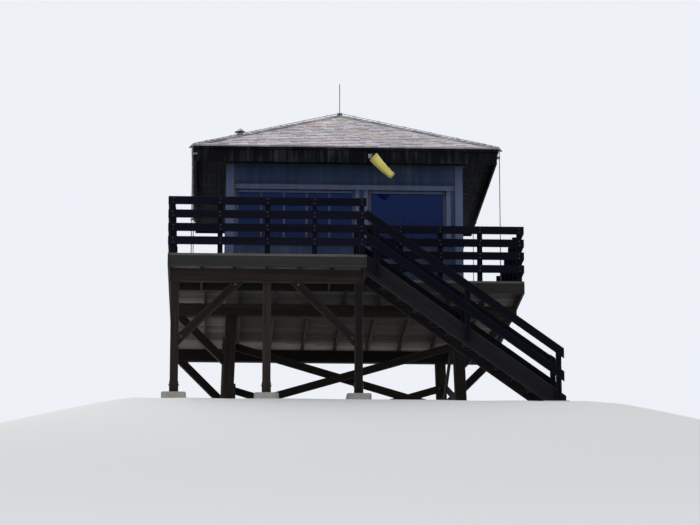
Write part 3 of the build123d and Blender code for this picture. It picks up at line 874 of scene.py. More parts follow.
def side_walls(board=0.3, tuck=0.02):
    boards = Lumber(70)
    nails = Lumber(71)
    half = corner_edge() + tuck
    count = round(2 * half / board)
    step = 2 * half / count
    for quarter in range(4):
        trims = trim_on_wall(quarter)
        for i in range(count):
            seam = i * step - half
            for batten, u, width, thick, out in (
                    (False, seam + step / 2, step - BOARD_GAP, BOARD_THICK, BOARD_THICK / 2),
                    (True, seam, BATTEN_WIDTH, BATTEN_THICK, BOARD_THICK + BATTEN_THICK / 2)):
                for bottom, top in clear_lengths(trims, u, width):
                    centre = around(quarter, u, -cab_half - out, (bottom + top) / 2)
                    boards.stick(centre, (0, 0, 1), turned(quarter, 1, 0), top - bottom, width, thick)
                    if batten:
                        nail_batten(nails, quarter, u, bottom, top)
    nails.build("siding_nails", bolt_finish, "conductor_metal")
    return boards.build("siding_boards", siding_finish, "siding")


side_walls()

# %% [markdown]
# Where a timber's shape is already in the model, with its sloped cuts and notches, it
# isn't drawn again. The model stores its flat sides as triangles, and grain and wear
# would follow their diagonals, so each side is made one face first. The casing of a
# window is one solid too, and a side with a hole in it can't be one face. It is cut
# across where its boards meet, and those cuts are marked as seams, which stay.

# %% Make each flat side one face
SAME_SPOT = 0.0001
FLAT_ANGLE = math.radians(1)


def cut_at_joints(bm):
    for level in marks_along([vertex.co for vertex in bm.verts], 2)[1:-1]:
        cut = bmesh.ops.bisect_plane(bm, geom=bm.verts[:] + bm.edges[:] + bm.faces[:], dist=SAME_SPOT,
                                     plane_co=(0, 0, level), plane_no=(0, 0, 1))
        for edge in cut["geom_cut"]:
            if isinstance(edge, bmesh.types.BMEdge):
                edge.seam = True


def flat_sided(node, jointed=False):
    bm = bmesh.new()
    for points, faces in shells(node):
        corners = [bm.verts.new(point) for point in points]
        for face in faces:
            bm.faces.new([corners[i] for i in face])
    bm.normal_update()
    if jointed:
        cut_at_joints(bm)
    bmesh.ops.dissolve_limit(bm, angle_limit=FLAT_ANGLE, verts=bm.verts, edges=bm.edges, delimit={"SEAM"})
    return bm


legs = flat_sided("legs")
print("legs have", len(nodes["legs"].data.polygons), "triangles and", len(legs.faces), "flat sides")
legs.free()

# %% [markdown]
# `dressed` copies a node's mesh, bevels its arrises and writes the three notes face by
# face. Along is each face's own longest edge, so that grain runs the right way on every
# member, also where several were joined into one solid. Only on the walls it always
# runs upwards. Every solid, an island of the mesh, gets its own luck.

# %% Dress a copy of a timber node
SHARP_ANGLE = 0.5
LEVEL_FACE = 0.5


def island_numbers(mesh):
    parent = list(range(len(mesh.vertices)))

    def top_of(i):
        while parent[i] != i:
            parent[i] = parent[parent[i]]
            i = parent[i]
        return i

    for edge in mesh.edges:
        a, b = edge.vertices
        parent[top_of(a)] = top_of(b)
    return [top_of(i) for i in range(len(parent))]


def face_axes(mesh, face):
    corners = [mesh.vertices[i].co for i in face.vertices]
    sides = [after - here for here, after in zip(corners, corners[1:] + corners[:1])]
    along = max(sides, key=lambda side: side.length).normalized()
    return corners, along, face.normal.cross(along)


def middle_and_half(corners, axis):
    marks = [corner.dot(axis) for corner in corners]
    return (max(marks) + min(marks)) / 2, (max(marks) - min(marks)) / 2


def note_faces(mesh, seed, upright):
    islands = island_numbers(mesh)
    draw = random.Random(seed)
    luck_of = {number: [draw.random() for axis in range(3)] for number in sorted(set(islands))}
    notes = {"stick": [], "halves": [], "luck": []}
    for face in mesh.polygons:
        corners, along, across = face_axes(mesh, face)
        if upright and abs(face.normal.z) < LEVEL_FACE:
            along, across = Vector((0, 0, 1)), face.normal.cross((0, 0, 1))
        along_at, along_half = middle_and_half(corners, along)
        across_at, across_half = middle_and_half(corners, across)
        depth = face.center.dot(face.normal)
        for corner in corners:
            notes["stick"].append((corner.dot(along) - along_at, corner.dot(across) - across_at, depth))
            notes["halves"].append((along_half, across_half, abs(depth)))
            notes["luck"].append(luck_of[islands[face.vertices[0]]])
    for key, values in notes.items():
        write_note(mesh, key, "CORNER", values)


def dressed(node, finish, slot, arris=0.004, seed=1, upright=False, jointed=False):
    bm = flat_sided(node, jointed)
    sharp = [edge for edge in bm.edges
             if len(edge.link_faces) == 2 and edge.calc_face_angle() > SHARP_ANGLE]
    bmesh.ops.bevel(bm, geom=sharp, offset=arris, segments=1, affect="EDGES", clamp_overlap=True)
    bmesh.ops.dissolve_degenerate(bm, dist=SAME_SPOT, edges=bm.edges)
    mesh = bpy.data.meshes.new("dressed_" + node)
    bm.to_mesh(mesh)
    bm.free()
    note_faces(mesh, seed, upright)
    return fitted("dressed_" + node, mesh, finish, slot, node)


print("edges sharper than", round(math.degrees(SHARP_ANGLE)), "degrees are bevelled")

# %% [markdown]
# The heavy frame is dressed as it is: legs, braces, girders, joists, and the landing's posts and beam.
# Their dark brown is painted shade, the shade under the deck, and they have greyed a little on the arrises.
# The rim boards round the deck are weathered grey wood, darkened with painted shade, the shade of the
# front.

# %% Dress the frame
HEAVY_ARRIS = 0.006
FRAME_NODES = ("legs", "leg_braces", "girders", "girder_braces", "floor_joists", "landing_posts",
               "landing_beam", "landing_braces")
for seed, node in enumerate(FRAME_NODES):
    dressed(node, frame_finish, "frame_timber", HEAVY_ARRIS, seed)
dressed("rim_boards", rim_finish, "rim_timber")

# %% [markdown]
# Painted trim is planed stock with a fine arris: corner boards, window casings, the
# door's frame and the sashes. The stair's strings and handrails are stained like the
# railings, and are rougher.

# %% Dress the trim and the stair
FINE_ARRIS = 0.002
dressed("corner_boards", trim_finish, "trim_paint", FINE_ARRIS)
dressed("window_casings", trim_finish, "trim_paint", FINE_ARRIS, jointed=True)
dressed("door_frame", trim_finish, "trim_paint", FINE_ARRIS, jointed=True)
dressed("window_sashes", sash_finish, "trim_paint", FINE_ARRIS, jointed=True)
dressed("stair_stringers", stair_finish, "stair_timber")
dressed("stair_handrail_front", rail_finish, "railing_timber")
dressed("stair_handrail_rear", rail_finish, "railing_timber")

# %% [markdown]
# The slabs of the roof show only as edges under the shingles, in the fascia's dark paint with its painted
# shade. The walls show between the boards of the siding, in its paint with its painted shade. A wall is one
# piece with a second material on its inner face, because the room is painted cream.

# %% Dress the roof slabs and the walls
FACES_IN = 0.5
for seed, side in enumerate(QUARTERS):
    dressed("roof_" + side, fascia_finish, "roof_shingle", 0.003, seed)
    wall = dressed("wall_" + side, siding_finish, "siding", FINE_ARRIS, seed, upright=True)
    wall.data.materials.append(inside_finish)
    inwards = turned(QUARTERS[side], 0, 1)
    for face in wall.data.polygons:
        face.material_index = int(face.normal.dot(inwards) > FACES_IN)

# %% [markdown]
# The door has its own dull paint. Its knob is part of the same solid in the model, so
# the faces that stand out past the door's own face get the metal instead.

# %% Dress the door
LEAF_THICK = 0.044
KNOB_STARTS = 0.002

door = dressed("door", door_finish, "door_paint", FINE_ARRIS)
door.data.materials.append(zinc_finish)
door_low, door_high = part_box("door")
leaf_middle = (door_low.x + door_high.x) / 2
for face in door.data.polygons:
    if abs(face.center.x - leaf_middle) > LEAF_THICK / 2 + KNOB_STARTS:
        face.material_index = 1
print("door faces of metal", sum(face.material_index for face in door.data.polygons))

# %% [markdown]
# Decks are boards with gaps that let the rain through, nailed across the joists. A
# texture could draw the lines, but from below daylight shows through real gaps. Rows
# longer than a board are joined over a joist, and the joints are scattered. No board
# lies quite level with the next.

# %% Lay boards in rows
LONGEST_BOARD = 4
SHORTEST_END = 1.2
BUTT_GAP = 0.003
UNEVEN = 0.0015


def lay_boards(boards, x_span, y_span, level, width=0.14, gap=0.006, thick=0.038, joints=(), nails=None):
    x_low, x_high = x_span
    y_low, y_high = y_span
    rows = max(1, round((y_high - y_low + gap) / (width + gap)))
    step = (y_high - y_low + gap) / rows
    inside = [joint for joint in joints if x_low + SHORTEST_END < joint < x_high - SHORTEST_END]
    for i in range(rows):
        y = y_low + (i + 0.5) * step - gap / 2
        ends = [x_low, x_high]
        if inside and x_high - x_low > LONGEST_BOARD:
            ends.insert(1, boards.random.choice(inside))
        for start, end in zip(ends, ends[1:]):
            top = level - boards.random.uniform(0, UNEVEN)
            boards.stick(Vector(((start + end) / 2, y, top - thick / 2)), (1, 0, 0), (0, 1, 0),
                         end - start - BUTT_GAP, step - gap, thick)
            if nails:
                nail_board(nails, start, end, y, width, top)


joist_lines = sorted({round(sum(point.x for point in points) / len(points), 3)
                      for points in solids("floor_joists")})
print("joists at", joist_lines)

# %% [markdown]
# Two nails hold each board on each joist, a little off their marks as a carpenter
# drives them. Near a board's end they are driven further in, so that it doesn't split.

# %% Nail the decks
DECK_NAIL = 0.0045, 0.001, 6
NAIL_SHARE = 0.3
NAIL_OFF_X, NAIL_OFF_Y = 0.006, 0.004
NAIL_FROM_END = 0.02
JOIST_REACH = 0.01


def nail_board(nails, start, end, y, width, top):
    for line in joist_lines:
        if not start - JOIST_REACH < line < end + JOIST_REACH:
            continue
        for side in (-NAIL_SHARE, NAIL_SHARE):
            x = line + nails.random.uniform(-NAIL_OFF_X, NAIL_OFF_X)
            x = min(max(x, start + NAIL_FROM_END), end - NAIL_FROM_END)
            spot = Vector((x, y + side * width + nails.random.uniform(-NAIL_OFF_Y, NAIL_OFF_Y), top))
            nails.disc(spot, (0, 0, 1), *DECK_NAIL)


deck_nails = Lumber(85)
x_low, x_high = middle.x - deck_half, middle.x + deck_half
y_low, y_high = middle.y - deck_half, middle.y + deck_half
catwalk = Lumber(80)
beside = (middle.y - cab_half, middle.y + cab_half)
lay_boards(catwalk, (x_low, x_high), (y_low, beside[0]), deck_top, joints=joist_lines, nails=deck_nails)
lay_boards(catwalk, (x_low, x_high), (beside[1], y_high), deck_top, joints=joist_lines, nails=deck_nails)
lay_boards(catwalk, (x_low, middle.x - cab_half), beside, deck_top, nails=deck_nails)
lay_boards(catwalk, (middle.x + cab_half, x_high), beside, deck_top, nails=deck_nails)
catwalk.build("catwalk_boards", deck_finish, "deck_timber", "catwalk_deck")

landing_low, landing_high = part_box("landing_deck")
landing = Lumber(81)
lay_boards(landing, (landing_low.x, landing_high.x), (landing_low.y, landing_high.y - BUTT_GAP),
           deck_top, nails=deck_nails)
landing.build("landing_boards", deck_finish, "deck_timber", "landing_deck")
deck_nails.build("deck_nails", bolt_finish, "conductor_metal")

# %% [markdown]
# Inside, a layer of rough boards carries narrow flooring, and the ceiling is matched
# boards. They show from below, between the joists, and through the windows. Both layers
# of the floor are half a millimetre thinner than their places, so that no two faces
# coincide.

# %% Lay the cab's floor and ceiling
FLOORING_DEPTH = 0.019

floor_x, floor_y = (floor_low.x, floor_high.x), (floor_low.y, floor_high.y)
rough = Lumber(82)
lay_boards(rough, floor_x, floor_y, floor_high.z - FLOORING_DEPTH, width=0.184, gap=0.002, thick=0.0375,
           joints=joist_lines)
rough.build("cab_underfloor", subfloor_finish, "floor_boards")
strips = Lumber(83)
lay_boards(strips, floor_x, floor_y, floor_high.z, width=0.083, gap=0.001, thick=0.0185, joints=joist_lines)
strips.build("cab_flooring", floor_finish, "floor_boards", "cab_floor")

ceiling_low, ceiling_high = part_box("ceiling")
matched = Lumber(84)
lay_boards(matched, (ceiling_low.x, ceiling_high.x), (ceiling_low.y, ceiling_high.y), ceiling_high.z,
           width=0.089, gap=0.002, thick=ceiling_high.z - ceiling_low.z)
matched.build("ceiling_boards", inside_finish, "soffit_paint", "ceiling")

# %% [markdown]
# A railing is four boards bolted to the outside of its posts. The places are read off
# the model's own corners: two corners a board's width apart make a board, and two a
# post's width apart make a post. The boards are a few millimetres thinner than the
# model's, which leaves room for the bolt heads inside the same outline. Long railings
# have a joint in every row, over a post near the middle.

# %% Measure and build the railings
RAIL_BOARD, RAIL_POST = 0.14, 0.089
RAIL_THICK, BOLT_HEAD = 0.038, 0.004
RAIL_BOLT = 0.011, BOLT_HEAD - 0.0005, 8
RAIL_ARRIS = 0.004
JOINT_POSTS = -1, 1, 0, 1
LEAN_ALONG, LEAN_OUT, BOARD_TILT = 0.0008, 0.0005, 0.0006


def pairs_apart(marks, size, tolerance=0.0015):
    return [(a, b) for a in marks for b in marks if abs(b - a - size) < tolerance]


def stand_post(rails, quarter, x, outer, tall):
    tilt = turned(quarter, rails.random.gauss(0, LEAN_ALONG), rails.random.gauss(0, LEAN_OUT), 1)
    centre = around(quarter, x, -outer + RAIL_THICK + RAIL_POST / 2, deck_top + tall / 2)
    rails.stick(centre, tilt, turned(quarter, 0, -1), tall, RAIL_POST, RAIL_POST, arris=RAIL_ARRIS)


def hang_board(rails, quarter, start, end, outer, z):
    along = turned(quarter, 1, 0, rails.random.gauss(0, BOARD_TILT))
    centre = around(quarter, (start + end) / 2, -outer + (BOLT_HEAD + RAIL_THICK) / 2, z)
    rails.stick(centre, along, (0, 0, 1), end - start - BUTT_GAP, RAIL_BOARD, RAIL_THICK - BOLT_HEAD,
                arris=RAIL_ARRIS)


def bolt_board(bolts, rails, quarter, posts, outer, z, spread=0.035, off=0.01):
    for x in posts:
        for lift in (-spread, spread):
            spot = around(quarter, x + rails.random.uniform(-off, off), -outer + BOLT_HEAD, z + lift)
            bolts.disc(spot, turned(quarter, 0, -1), *RAIL_BOLT)


def build_railing(node, quarter):
    rails = Lumber(90 + quarter + len(node))
    bolts = Lumber(91)
    points = [facing(quarter, vertex.co) for vertex in nodes[node].data.vertices]
    low, high = corners_of(points)
    posts = [sum(pair) / 2 for pair in pairs_apart(marks_along(points, 0), RAIL_POST)]
    rows = [sum(pair) / 2 for pair in pairs_apart(marks_along(points, 2), RAIL_BOARD)]
    for x in posts:
        stand_post(rails, quarter, x, -low.y, high.z - deck_top)
    for row, z in enumerate(rows):
        ends = [low.x, high.x]
        if high.x - low.x > LONGEST_BOARD:
            ends.insert(1, posts[len(posts) // 2 + JOINT_POSTS[row]])
        for start, end in zip(ends, ends[1:]):
            hang_board(rails, quarter, start, end, -low.y, z)
        bolt_board(bolts, rails, quarter, posts, -low.y, z)
    rails.build(node + "_timber", rail_finish, "railing_timber", node)
    bolts.build(node + "_bolts", bolt_finish, "conductor_metal")


for node, quarter in (("railing_landing", 0), ("railing_front", 0), ("railing_left", 3),
                      ("railing_rear", 2), ("railing_right", 1), ("railing_stair_head", 1)):
    build_railing(node, quarter)

# %% [markdown]
# Each tread is two planks with a gap, on a cleat nailed to the stringer at either end.
# The gap drains the rain, and two narrow planks cup less than a wide one.

# %% Plank the stair
def plank_stair(plank_gap=0.006, worn_arris=0.005, cleat=0.038, cleat_short=0.03):
    planks = Lumber(100)
    for points in solids("stair_treads"):
        low, high = corners_of(points)
        centre = (low + high) / 2
        run = (high.x - low.x - plank_gap) / 2
        for x in (low.x + run / 2, high.x - run / 2):
            planks.stick(Vector((x, centre.y, centre.z)), (0, 1, 0), (-1, 0, 0),
                         high.y - low.y, run, high.z - low.z, arris=worn_arris)
        for y in (low.y + cleat / 2, high.y - cleat / 2):
            planks.stick(Vector((centre.x, y, low.z - cleat / 2)), (1, 0, 0), (0, 1, 0),
                         high.x - low.x - cleat_short, cleat, cleat)
    return planks.build("stair_planks", stair_finish, "stair_timber", "stair_treads")


plank_stair()

# %% [markdown]
# Bolts with washers hold the braces, and steel straps hold each post to its footing.
# Their places come from the members themselves: a bolt goes through the widest face,
# a hand's length from either end.

# %% Bolt the frame together
BOLT_INSETS = {"leg_braces": 0.16, "girder_braces": 0.12, "landing_braces": 0.12}
WASHER = 0.026, 0.003, 14
NUT = 0.014, 0.013, 6
STRAP_SIZES = 0.22, 0.075, 0.009
STRAP_BOLT = 0.014, 0.012, 6


def member_frames(node):
    mesh = bpy.data.objects["dressed_" + node].data
    islands = island_numbers(mesh)
    frames = []
    for number in sorted(set(islands)):
        faces = [face for face in mesh.polygons if islands[face.vertices[0]] == number]
        widest = max(faces, key=lambda face: face.area)
        corners, along, across = face_axes(mesh, widest)
        points = [mesh.vertices[i].co for face in faces for i in face.vertices]
        axes = (along, across, widest.normal)
        spans = [middle_and_half(points, axis) for axis in axes]
        centre = sum((axis * at for axis, (at, half) in zip(axes, spans)), Vector((0, 0, 0)))
        frames.append((centre, axes, [half for at, half in spans]))
    return frames


def bolt_ends(hardware, node, inset):
    for centre, (along, across, through), halves in member_frames(node):
        for end in (-1, 1):
            for side in (-1, 1):
                spot = centre + along * end * (halves[0] - inset) + through * side * halves[2]
                hardware.disc(spot, through * side, *WASHER)
                hardware.disc(spot, through * side, *NUT)


def strap_foot(hardware, points, end_depth=0.05, strap_gap=0.004, strap_middle=0.1, bolt_height=0.15):
    foot = min(point.z for point in points)
    low, high = corners_of([point for point in points if point.z < foot + end_depth])
    for side in (-1, 1):
        x = (low.x + high.x) / 2 + side * ((high.x - low.x) / 2 + strap_gap)
        y = (low.y + high.y) / 2
        hardware.stick(Vector((x, y, foot + strap_middle)), (0, 0, 1), (0, 1, 0), *STRAP_SIZES)
        hardware.disc(Vector((x + side * strap_gap, y, foot + bolt_height)), (side, 0, 0), *STRAP_BOLT)


hardware = Lumber(110)
for node, inset in BOLT_INSETS.items():
    bolt_ends(hardware, node, inset)
for points in solids("legs") + solids("landing_posts"):
    strap_foot(hardware, points)
hardware.build("frame_hardware", bolt_finish, "conductor_metal")

# %% [markdown]
# The footings are blocks of board-marked concrete. Their edges have crumbled a little,
# so the copy is cut finer and its surface moved in by up to a few millimetres of noise.
# It moves inwards only, since a footing may not grow, and its base stays flat.

# %% Cast the footings
def cast_footings(edge=0.014, cut_beyond=0.06, cuts=7, base=0.01, worn_away=0.0025):
    bm = flat_sided("footings")
    bmesh.ops.bevel(bm, geom=bm.edges[:], offset=edge, segments=2, affect="EDGES")
    long_edges = [side for side in bm.edges if side.calc_length() > cut_beyond]
    bmesh.ops.subdivide_edges(bm, edges=long_edges, cuts=cuts, use_grid_fill=True)
    bmesh.ops.triangulate(bm, faces=[face for face in bm.faces if len(face.verts) > 4])
    bm.normal_update()
    draw = random.Random(120)
    for vertex in bm.verts:
        if vertex.co.z > base:
            vertex.co -= vertex.normal * draw.uniform(0, worn_away)
    mesh = bpy.data.meshes.new("cast_footings")
    bm.to_mesh(mesh)
    bm.free()
    mesh.shade_smooth()
    return fitted("cast_footings", mesh, footing_finish, "footing_concrete", "footings")


cast_footings()

# %% [markdown]
# The flue, the lightning rod, its conductors and the glass are right as the model has
# them, and only get their finish.

# %% Finish the metalwork and the glass
for node, finish in (("stovepipe", flue_finish), ("lightning_rod", copper_finish),
                     ("down_conductors", copper_finish), ("window_glass", pane_finish)):
    nodes[node].data.materials.clear()
    nodes[node].data.materials.append(finish)
    print(node, "gets", finish.name)

# %% [markdown]
# From the rod's saddle a cable runs down each hip to the top of the conductor at that
# corner, held by small clips. `tube_mesh` sweeps a ring along a route. A curve with a
# bevel would do the same, but a mesh needs no conversion when it is exported.

# %% Run the cables down the hips
def tube_mesh(name, route, radius, sides=8):
    points = []
    faces = []
    for i, spot in enumerate(route):
        before, after = route[max(i - 1, 0)], route[min(i + 1, len(route) - 1)]
        ahead = (after - before).normalized()
        one = ahead.cross(Vector((0.3, 0.2, 1))).normalized()
        two = ahead.cross(one)
        for k in range(sides):
            turn = 2 * math.pi * k / sides
            points.append(spot + (one * math.cos(turn) + two * math.sin(turn)) * radius)
    for i in range(len(route) - 1):
        for k in range(sides):
            a, b = i * sides + k, i * sides + (k + 1) % sides
            faces.append((a, b, b + sides, a + sides))
    faces.append(list(reversed(range(sides))))
    faces.append([(len(route) - 1) * sides + k for k in range(sides)])
    mesh = bpy.data.meshes.new(name)
    mesh.from_pydata(points, [], faces)
    mesh.shade_smooth()
    return mesh


CABLE_RADIUS, CABLE_LIFT = 0.006, 0.037
CABLE_STEPS = 12
FROM_APEX = 0.03
PAST_FASCIA = 0.04
EAVE_BEND = 0.02
CLIP_SIZES, CLIP_ARRIS = (0.07, 0.018, 0.015), 0.004

conductor_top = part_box("down_conductors")[1].z
clips = Lumber(125)
for quarter in range(4):
    corner = Vector((roof_half, -roof_half, eave_level))
    apex = Vector((FROM_APEX, -FROM_APEX, roof_high.z))
    lift = Vector((0, 0, CABLE_LIFT))
    route = [apex + (corner - apex) * (i / CABLE_STEPS) + lift for i in range(CABLE_STEPS + 1)]
    drop = Vector((fascia_half + PAST_FASCIA, -fascia_half - PAST_FASCIA, conductor_top))
    route += [Vector((drop.x, drop.y, eave_level + EAVE_BEND)), drop]
    placed = [around(quarter, *spot) for spot in route]
    mesh = tube_mesh("hip_cable_%d" % quarter, placed, CABLE_RADIUS)
    fitted("hip_cable_%d" % quarter, mesh, copper_finish, "conductor_metal")
    downhill = (placed[CABLE_STEPS] - placed[0]).normalized()
    across = downhill.cross(Vector((0, 0, 1))).normalized()
    for spot in placed[1:CABLE_STEPS:2]:
        clips.stick(spot, across, downhill, *CLIP_SIZES, arris=CLIP_ARRIS)
clips.build("hip_cable_clips", copper_finish, "conductor_metal")

# %% [markdown]
# The windsock is a tapered tube of faded yellow cloth with bound hems: a flat cut, sewn
# along one seam, that hangs from a wire hoop. Cloth physics could drape it, but a limp
# sock is simple enough for a formula. The tube flattens towards its tail and sags in a
# shallow curve, with folds that grow towards the open end.

# %% Shape the windsock
SOCK_LENGTH, MOUTH_RADIUS, TAIL_RADIUS = 0.48, 0.093, 0.068
SAG, FLATTENED = 0.02, 0.16
BROAD_FOLDS, FINE_FOLDS, RIPPLE = 0.10, 0.05, 0.004
PLATE_WIDTH, PLATE_HEIGHT, PLATE_THICK = 0.06, 0.08, 0.008
ARM_BEHIND_FRONT, ARM_TO_MOUTH = 0.095, 0.08

sock_low, sock_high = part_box("windsock")
arm_end = Vector((sock_low.x + PLATE_WIDTH / 2, sock_low.y + ARM_BEHIND_FRONT,
                  sock_high.z - PLATE_HEIGHT / 2))
sock_axis = Vector((1, 0, -1)).normalized()
mouth = arm_end + sock_axis * ARM_TO_MOUTH


def sock_middle(along):
    return mouth + sock_axis * SOCK_LENGTH * along - Vector((0, 0, SAG)) * math.sin(math.pi * along * 0.9)


def sock_point(along, turn):
    radius = MOUTH_RADIUS + (TAIL_RADIUS - MOUTH_RADIUS) * along
    folds = BROAD_FOLDS * math.sin(5 * turn + 1.3) + FINE_FOLDS * math.sin(9 * turn + 4 * along)
    wide = radius * (1 + folds * along)
    flat = 1 - FLATTENED * along
    side = Vector((0, 1, 0))
    up = sock_axis.cross(side)
    ripple = RIPPLE * math.sin(along * 26 + 2 * math.sin(turn))
    return (sock_middle(along) + side * math.cos(turn) * wide
            + up * math.sin(turn) * (wide * flat + ripple * along))


print("mouth at", [round(number, 3) for number in mouth], "tail at",
      [round(number, 3) for number in sock_middle(1)])

# %% [markdown]
# One function sews every part of the cloth: the tube, its two hems and the seam are
# strips between two places along the sock and two turns round it. A hem lies a little
# further out than the cloth that it binds. Solidify gives the cloth its thickness.

# %% Sew the windsock
CLOTH_THICK, HEM_LIFT = 0.0012, 0.0016
WHOLE_TURN = 0, 2 * math.pi
ROWS, COLUMNS = 36, 56
MOUTH_HEM, TAIL_HEM = 0.08, 0.965
SEAM_TURN = 5.5, 5.66


def sock_cloth(name, finish, along_span, turn_span, rows, columns, lift, *stands_for):
    points = []
    for i in range(rows + 1):
        along = along_span[0] + (along_span[1] - along_span[0]) * i / rows
        for k in range(columns + 1):
            turn = turn_span[0] + (turn_span[1] - turn_span[0]) * k / columns
            spot = sock_point(along, turn)
            points.append(spot + (spot - sock_middle(along)).normalized() * lift)
    row = columns + 1
    faces = [(i * row + k, i * row + k + 1, (i + 1) * row + k + 1, (i + 1) * row + k)
             for i in range(rows) for k in range(columns)]
    mesh = bpy.data.meshes.new(name)
    mesh.from_pydata(points, [], faces)
    bm = bmesh.new()
    bm.from_mesh(mesh)
    bmesh.ops.remove_doubles(bm, verts=bm.verts, dist=SAME_SPOT * 2)
    bm.to_mesh(mesh)
    bm.free()
    mesh.shade_smooth()
    piece = fitted(name, mesh, finish, "sock_vinyl", *stands_for)
    thick = piece.modifiers.new("cloth_thickness", "SOLIDIFY")
    thick.thickness = CLOTH_THICK
    return piece


def cloth_finish(name, stops):
    finish = Finish(name, Sheen_Weight=0.25)
    faded = finish.noise(finish.place(), 4, 3, 0.5)
    weave = finish.noise(finish.place(), 900, 1)
    worn, fresh, pale = stops
    colour = finish.colours(faded, (0.3, worn), (0.55, fresh), (0.8, pale))
    finish.feed(Base_Color=colour, Roughness=0.85 + (faded - 0.5) * 0.1)
    finish.bump(weave, 0.3, 0.0006)
    return finish.material


yellow_cloth = cloth_finish("faded_yellow_cloth", shades((226, 208, 84), (240, 226, 112), (246, 238, 164)))
hem_cloth = cloth_finish("bound_hem_cloth", shades((208, 190, 84), (224, 208, 104), (234, 222, 142)))
cloth = sock_cloth("windsock_cloth", yellow_cloth, (0, 1), WHOLE_TURN, ROWS, COLUMNS, 0, "windsock")
hems = [sock_cloth("windsock_mouth_hem", hem_cloth, (0, MOUTH_HEM), WHOLE_TURN, 4, COLUMNS, HEM_LIFT),
        sock_cloth("windsock_tail_hem", hem_cloth, (TAIL_HEM, 1), WHOLE_TURN, 2, COLUMNS, HEM_LIFT),
        sock_cloth("windsock_seam", hem_cloth, (MOUTH_HEM, TAIL_HEM), SEAM_TURN, ROWS, 2, HEM_LIFT)]

# %% [markdown]
# The hoop follows the sock's own mouth, and four thin wires tie it to the arm. The arm
# is a rod on a small plate, which two bolts hold to the fascia.

# %% Hang the windsock on its hoop and arm
HOOP_STEPS, HOOP_RADIUS = 40, 0.003
WIRES, WIRE_THICK = 4, 0.003
ARM_RADIUS = 0.008
PLATE_BOLT, BOLT_SPREAD = (0.007, 0.005, 6), 0.026

hoop_route = [sock_point(0, 2 * math.pi * k / HOOP_STEPS) for k in range(HOOP_STEPS + 1)]
fitted("windsock_hoop", tube_mesh("windsock_hoop", hoop_route, HOOP_RADIUS), zinc_finish, "conductor_metal")
arm = Lumber(130)
fascia_face = middle.y - fascia_half
arm.stick(Vector((arm_end.x, fascia_face - PLATE_THICK / 2, arm_end.z)), (0, 0, 1), (1, 0, 0),
          PLATE_HEIGHT, PLATE_WIDTH, PLATE_THICK)
arm.disc(Vector((arm_end.x, fascia_face, arm_end.z)), (0, -1, 0), ARM_RADIUS, fascia_face - arm_end.y, 12)
for k in range(WIRES):
    start = sock_point(0, 2 * math.pi * k / WIRES)
    line = arm_end - start
    arm.stick(start + line / 2, line, Vector((0, 1, 0.2)), line.length, WIRE_THICK, WIRE_THICK)
for lift in (-BOLT_SPREAD, BOLT_SPREAD):
    arm.disc(Vector((arm_end.x, fascia_face - PLATE_THICK, arm_end.z + lift)), (0, -1, 0), *PLATE_BOLT)
arm.build("windsock_arm", zinc_finish, "conductor_metal")

# %% [markdown]
# The stage is a smooth pale mound: flat under the footings and falling away all round,
# because the camera looks up from below and a flat floor would hide the building. It is
# a disc of rings that widen outwards. Far from the building the eye sees the backdrop's
# own colour on it, also in glass and metal, so that no edge shows. Light that bounces
# off it keeps the mound's real colour everywhere.

# %% Make the pale mound
BACKDROP = (0.88, 0.91, 0.96, 1)
BACKDROP_SEEN = 0.97
MOUND_SLOPE = 0.31
MOUND_ROUNDING = 0.5
MOUND_MARGIN = 0.3
JUST_BELOW = 0.001


def mound_level(x, y):
    beyond_x = max(footing_low.x - MOUND_MARGIN - x, 0, x - footing_high.x - MOUND_MARGIN)
    beyond_y = max(footing_low.y - MOUND_MARGIN - y, 0, y - footing_high.y - MOUND_MARGIN)
    out = math.hypot(beyond_x, beyond_y)
    return -MOUND_SLOPE * (math.hypot(out, MOUND_ROUNDING) - MOUND_ROUNDING) - JUST_BELOW


def looked_at(tree):
    rays = tree.nodes.new("ShaderNodeLightPath").outputs
    camera_ray, glossy_ray, transmission_ray = (
        Value(tree, rays[name]) for name in ("Is Camera Ray", "Is Glossy Ray", "Is Transmission Ray"))
    return camera_ray.most(glossy_ray).most(transmission_ray)


def ground_finish(near=9, far=36):
    finish = Finish("pale_ground", Base_Color=seen(236, 236, 234), Roughness=0.95)
    away = finish.add("ShaderNodeVectorMath", {"operation": "LENGTH"},
                      {0: finish.vector("SUBTRACT", finish.place(), tuple(middle))}, VECTOR_LENGTH)
    glow = finish.add("ShaderNodeEmission", None, {"Color": BACKDROP, "Strength": BACKDROP_SEEN})
    ground = Value(finish.tree, finish.shader.outputs[0])
    both = finish.add("ShaderNodeMixShader", None,
                      {0: finish.step(away, near, far) * looked_at(finish.tree), 1: ground, 2: glow})
    finish.tree.links.new(both.socket, finish.tree.nodes["Material Output"].inputs["Surface"])
    return finish.material


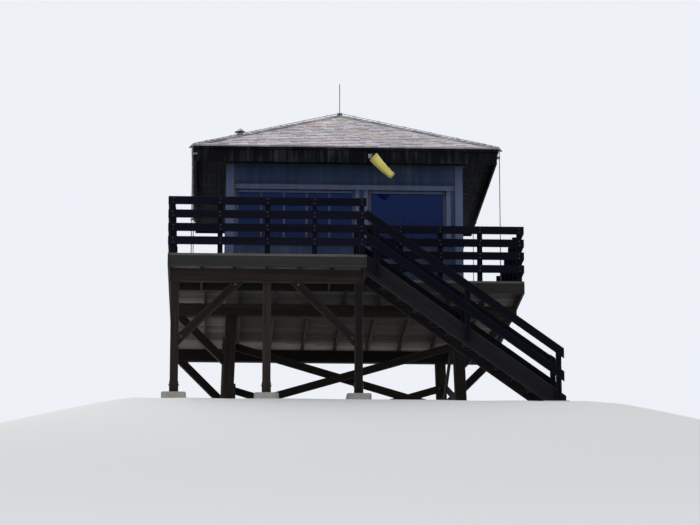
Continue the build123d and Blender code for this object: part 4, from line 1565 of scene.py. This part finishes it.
def make_mound(reach=260, rings=110, spokes=256, widening=2.4):
    centre = middle + Vector((0, -1, 0))
    points = [(centre.x, centre.y, mound_level(centre.x, centre.y))]
    for ring in range(1, rings + 1):
        out = reach * (ring / rings) ** widening
        for spoke in range(spokes):
            turn = 2 * math.pi * spoke / spokes
            x, y = centre.x + out * math.cos(turn), centre.y + out * math.sin(turn)
            points.append((x, y, mound_level(x, y)))
    faces = [(0, 1 + k, 1 + (k + 1) % spokes) for k in range(spokes)]
    for ring in range(rings - 1):
        first = 1 + ring * spokes
        for k in range(spokes):
            after = (k + 1) % spokes
            faces.append((first + k, first + spokes + k, first + spokes + after, first + after))
    mesh = bpy.data.meshes.new("pale_mound")
    mesh.from_pydata(points, [], faces)
    mesh.shade_smooth()
    mound = bpy.data.objects.new("pale_mound", mesh)
    bpy.context.scene.collection.objects.link(mound)
    mesh.materials.append(ground_finish())
    print("mound", len(faces), "faces, lowest at", round(min(point[2] for point in points), 1), "m")
    return mound


make_mound()

# %% [markdown]
# The light is plain: an even pale backdrop and one very large lamp overhead, a little
# behind the building, so that the roof is the brightest surface and the front is in soft
# shade. The backdrop gives less light than it shows, which keeps it pale while the shade
# stays dark.

# %% Light the scene
BACKDROP_LIGHT = 0.68
SOFTBOX_SIDE, SOFTBOX_POWER = 16, 2900
SOFTBOX_PLACE, SOFTBOX_AIM = Vector((-6, 7, 20)), Vector((0, 0, 3))

world = bpy.data.worlds.new("pale_backdrop")
bpy.context.scene.world = world
world.use_nodes = True
backdrop = world.node_tree
background = backdrop.nodes["Background"]
background.inputs["Color"].default_value = BACKDROP
strength = looked_at(backdrop) * (BACKDROP_SEEN - BACKDROP_LIGHT) + BACKDROP_LIGHT
backdrop.links.new(strength.socket, background.inputs["Strength"])

lamp_data = bpy.data.lights.new("overhead_softbox", "AREA")
lamp_data.shape = "RECTANGLE"
lamp_data.size = SOFTBOX_SIDE
lamp_data.size_y = SOFTBOX_SIDE
lamp_data.energy = SOFTBOX_POWER
lamp_data.color = (1.0, 0.975, 0.94)
lamp = bpy.data.objects.new("overhead_softbox", lamp_data)
lamp.location = middle + SOFTBOX_PLACE
lamp.rotation_euler = (SOFTBOX_AIM - SOFTBOX_PLACE).to_track_quat("-Z", "Y").to_euler()
bpy.context.scene.collection.objects.link(lamp)
print("lamp of", SOFTBOX_POWER, "W,", round((SOFTBOX_PLACE - SOFTBOX_AIM).length, 1), "m from its aim")
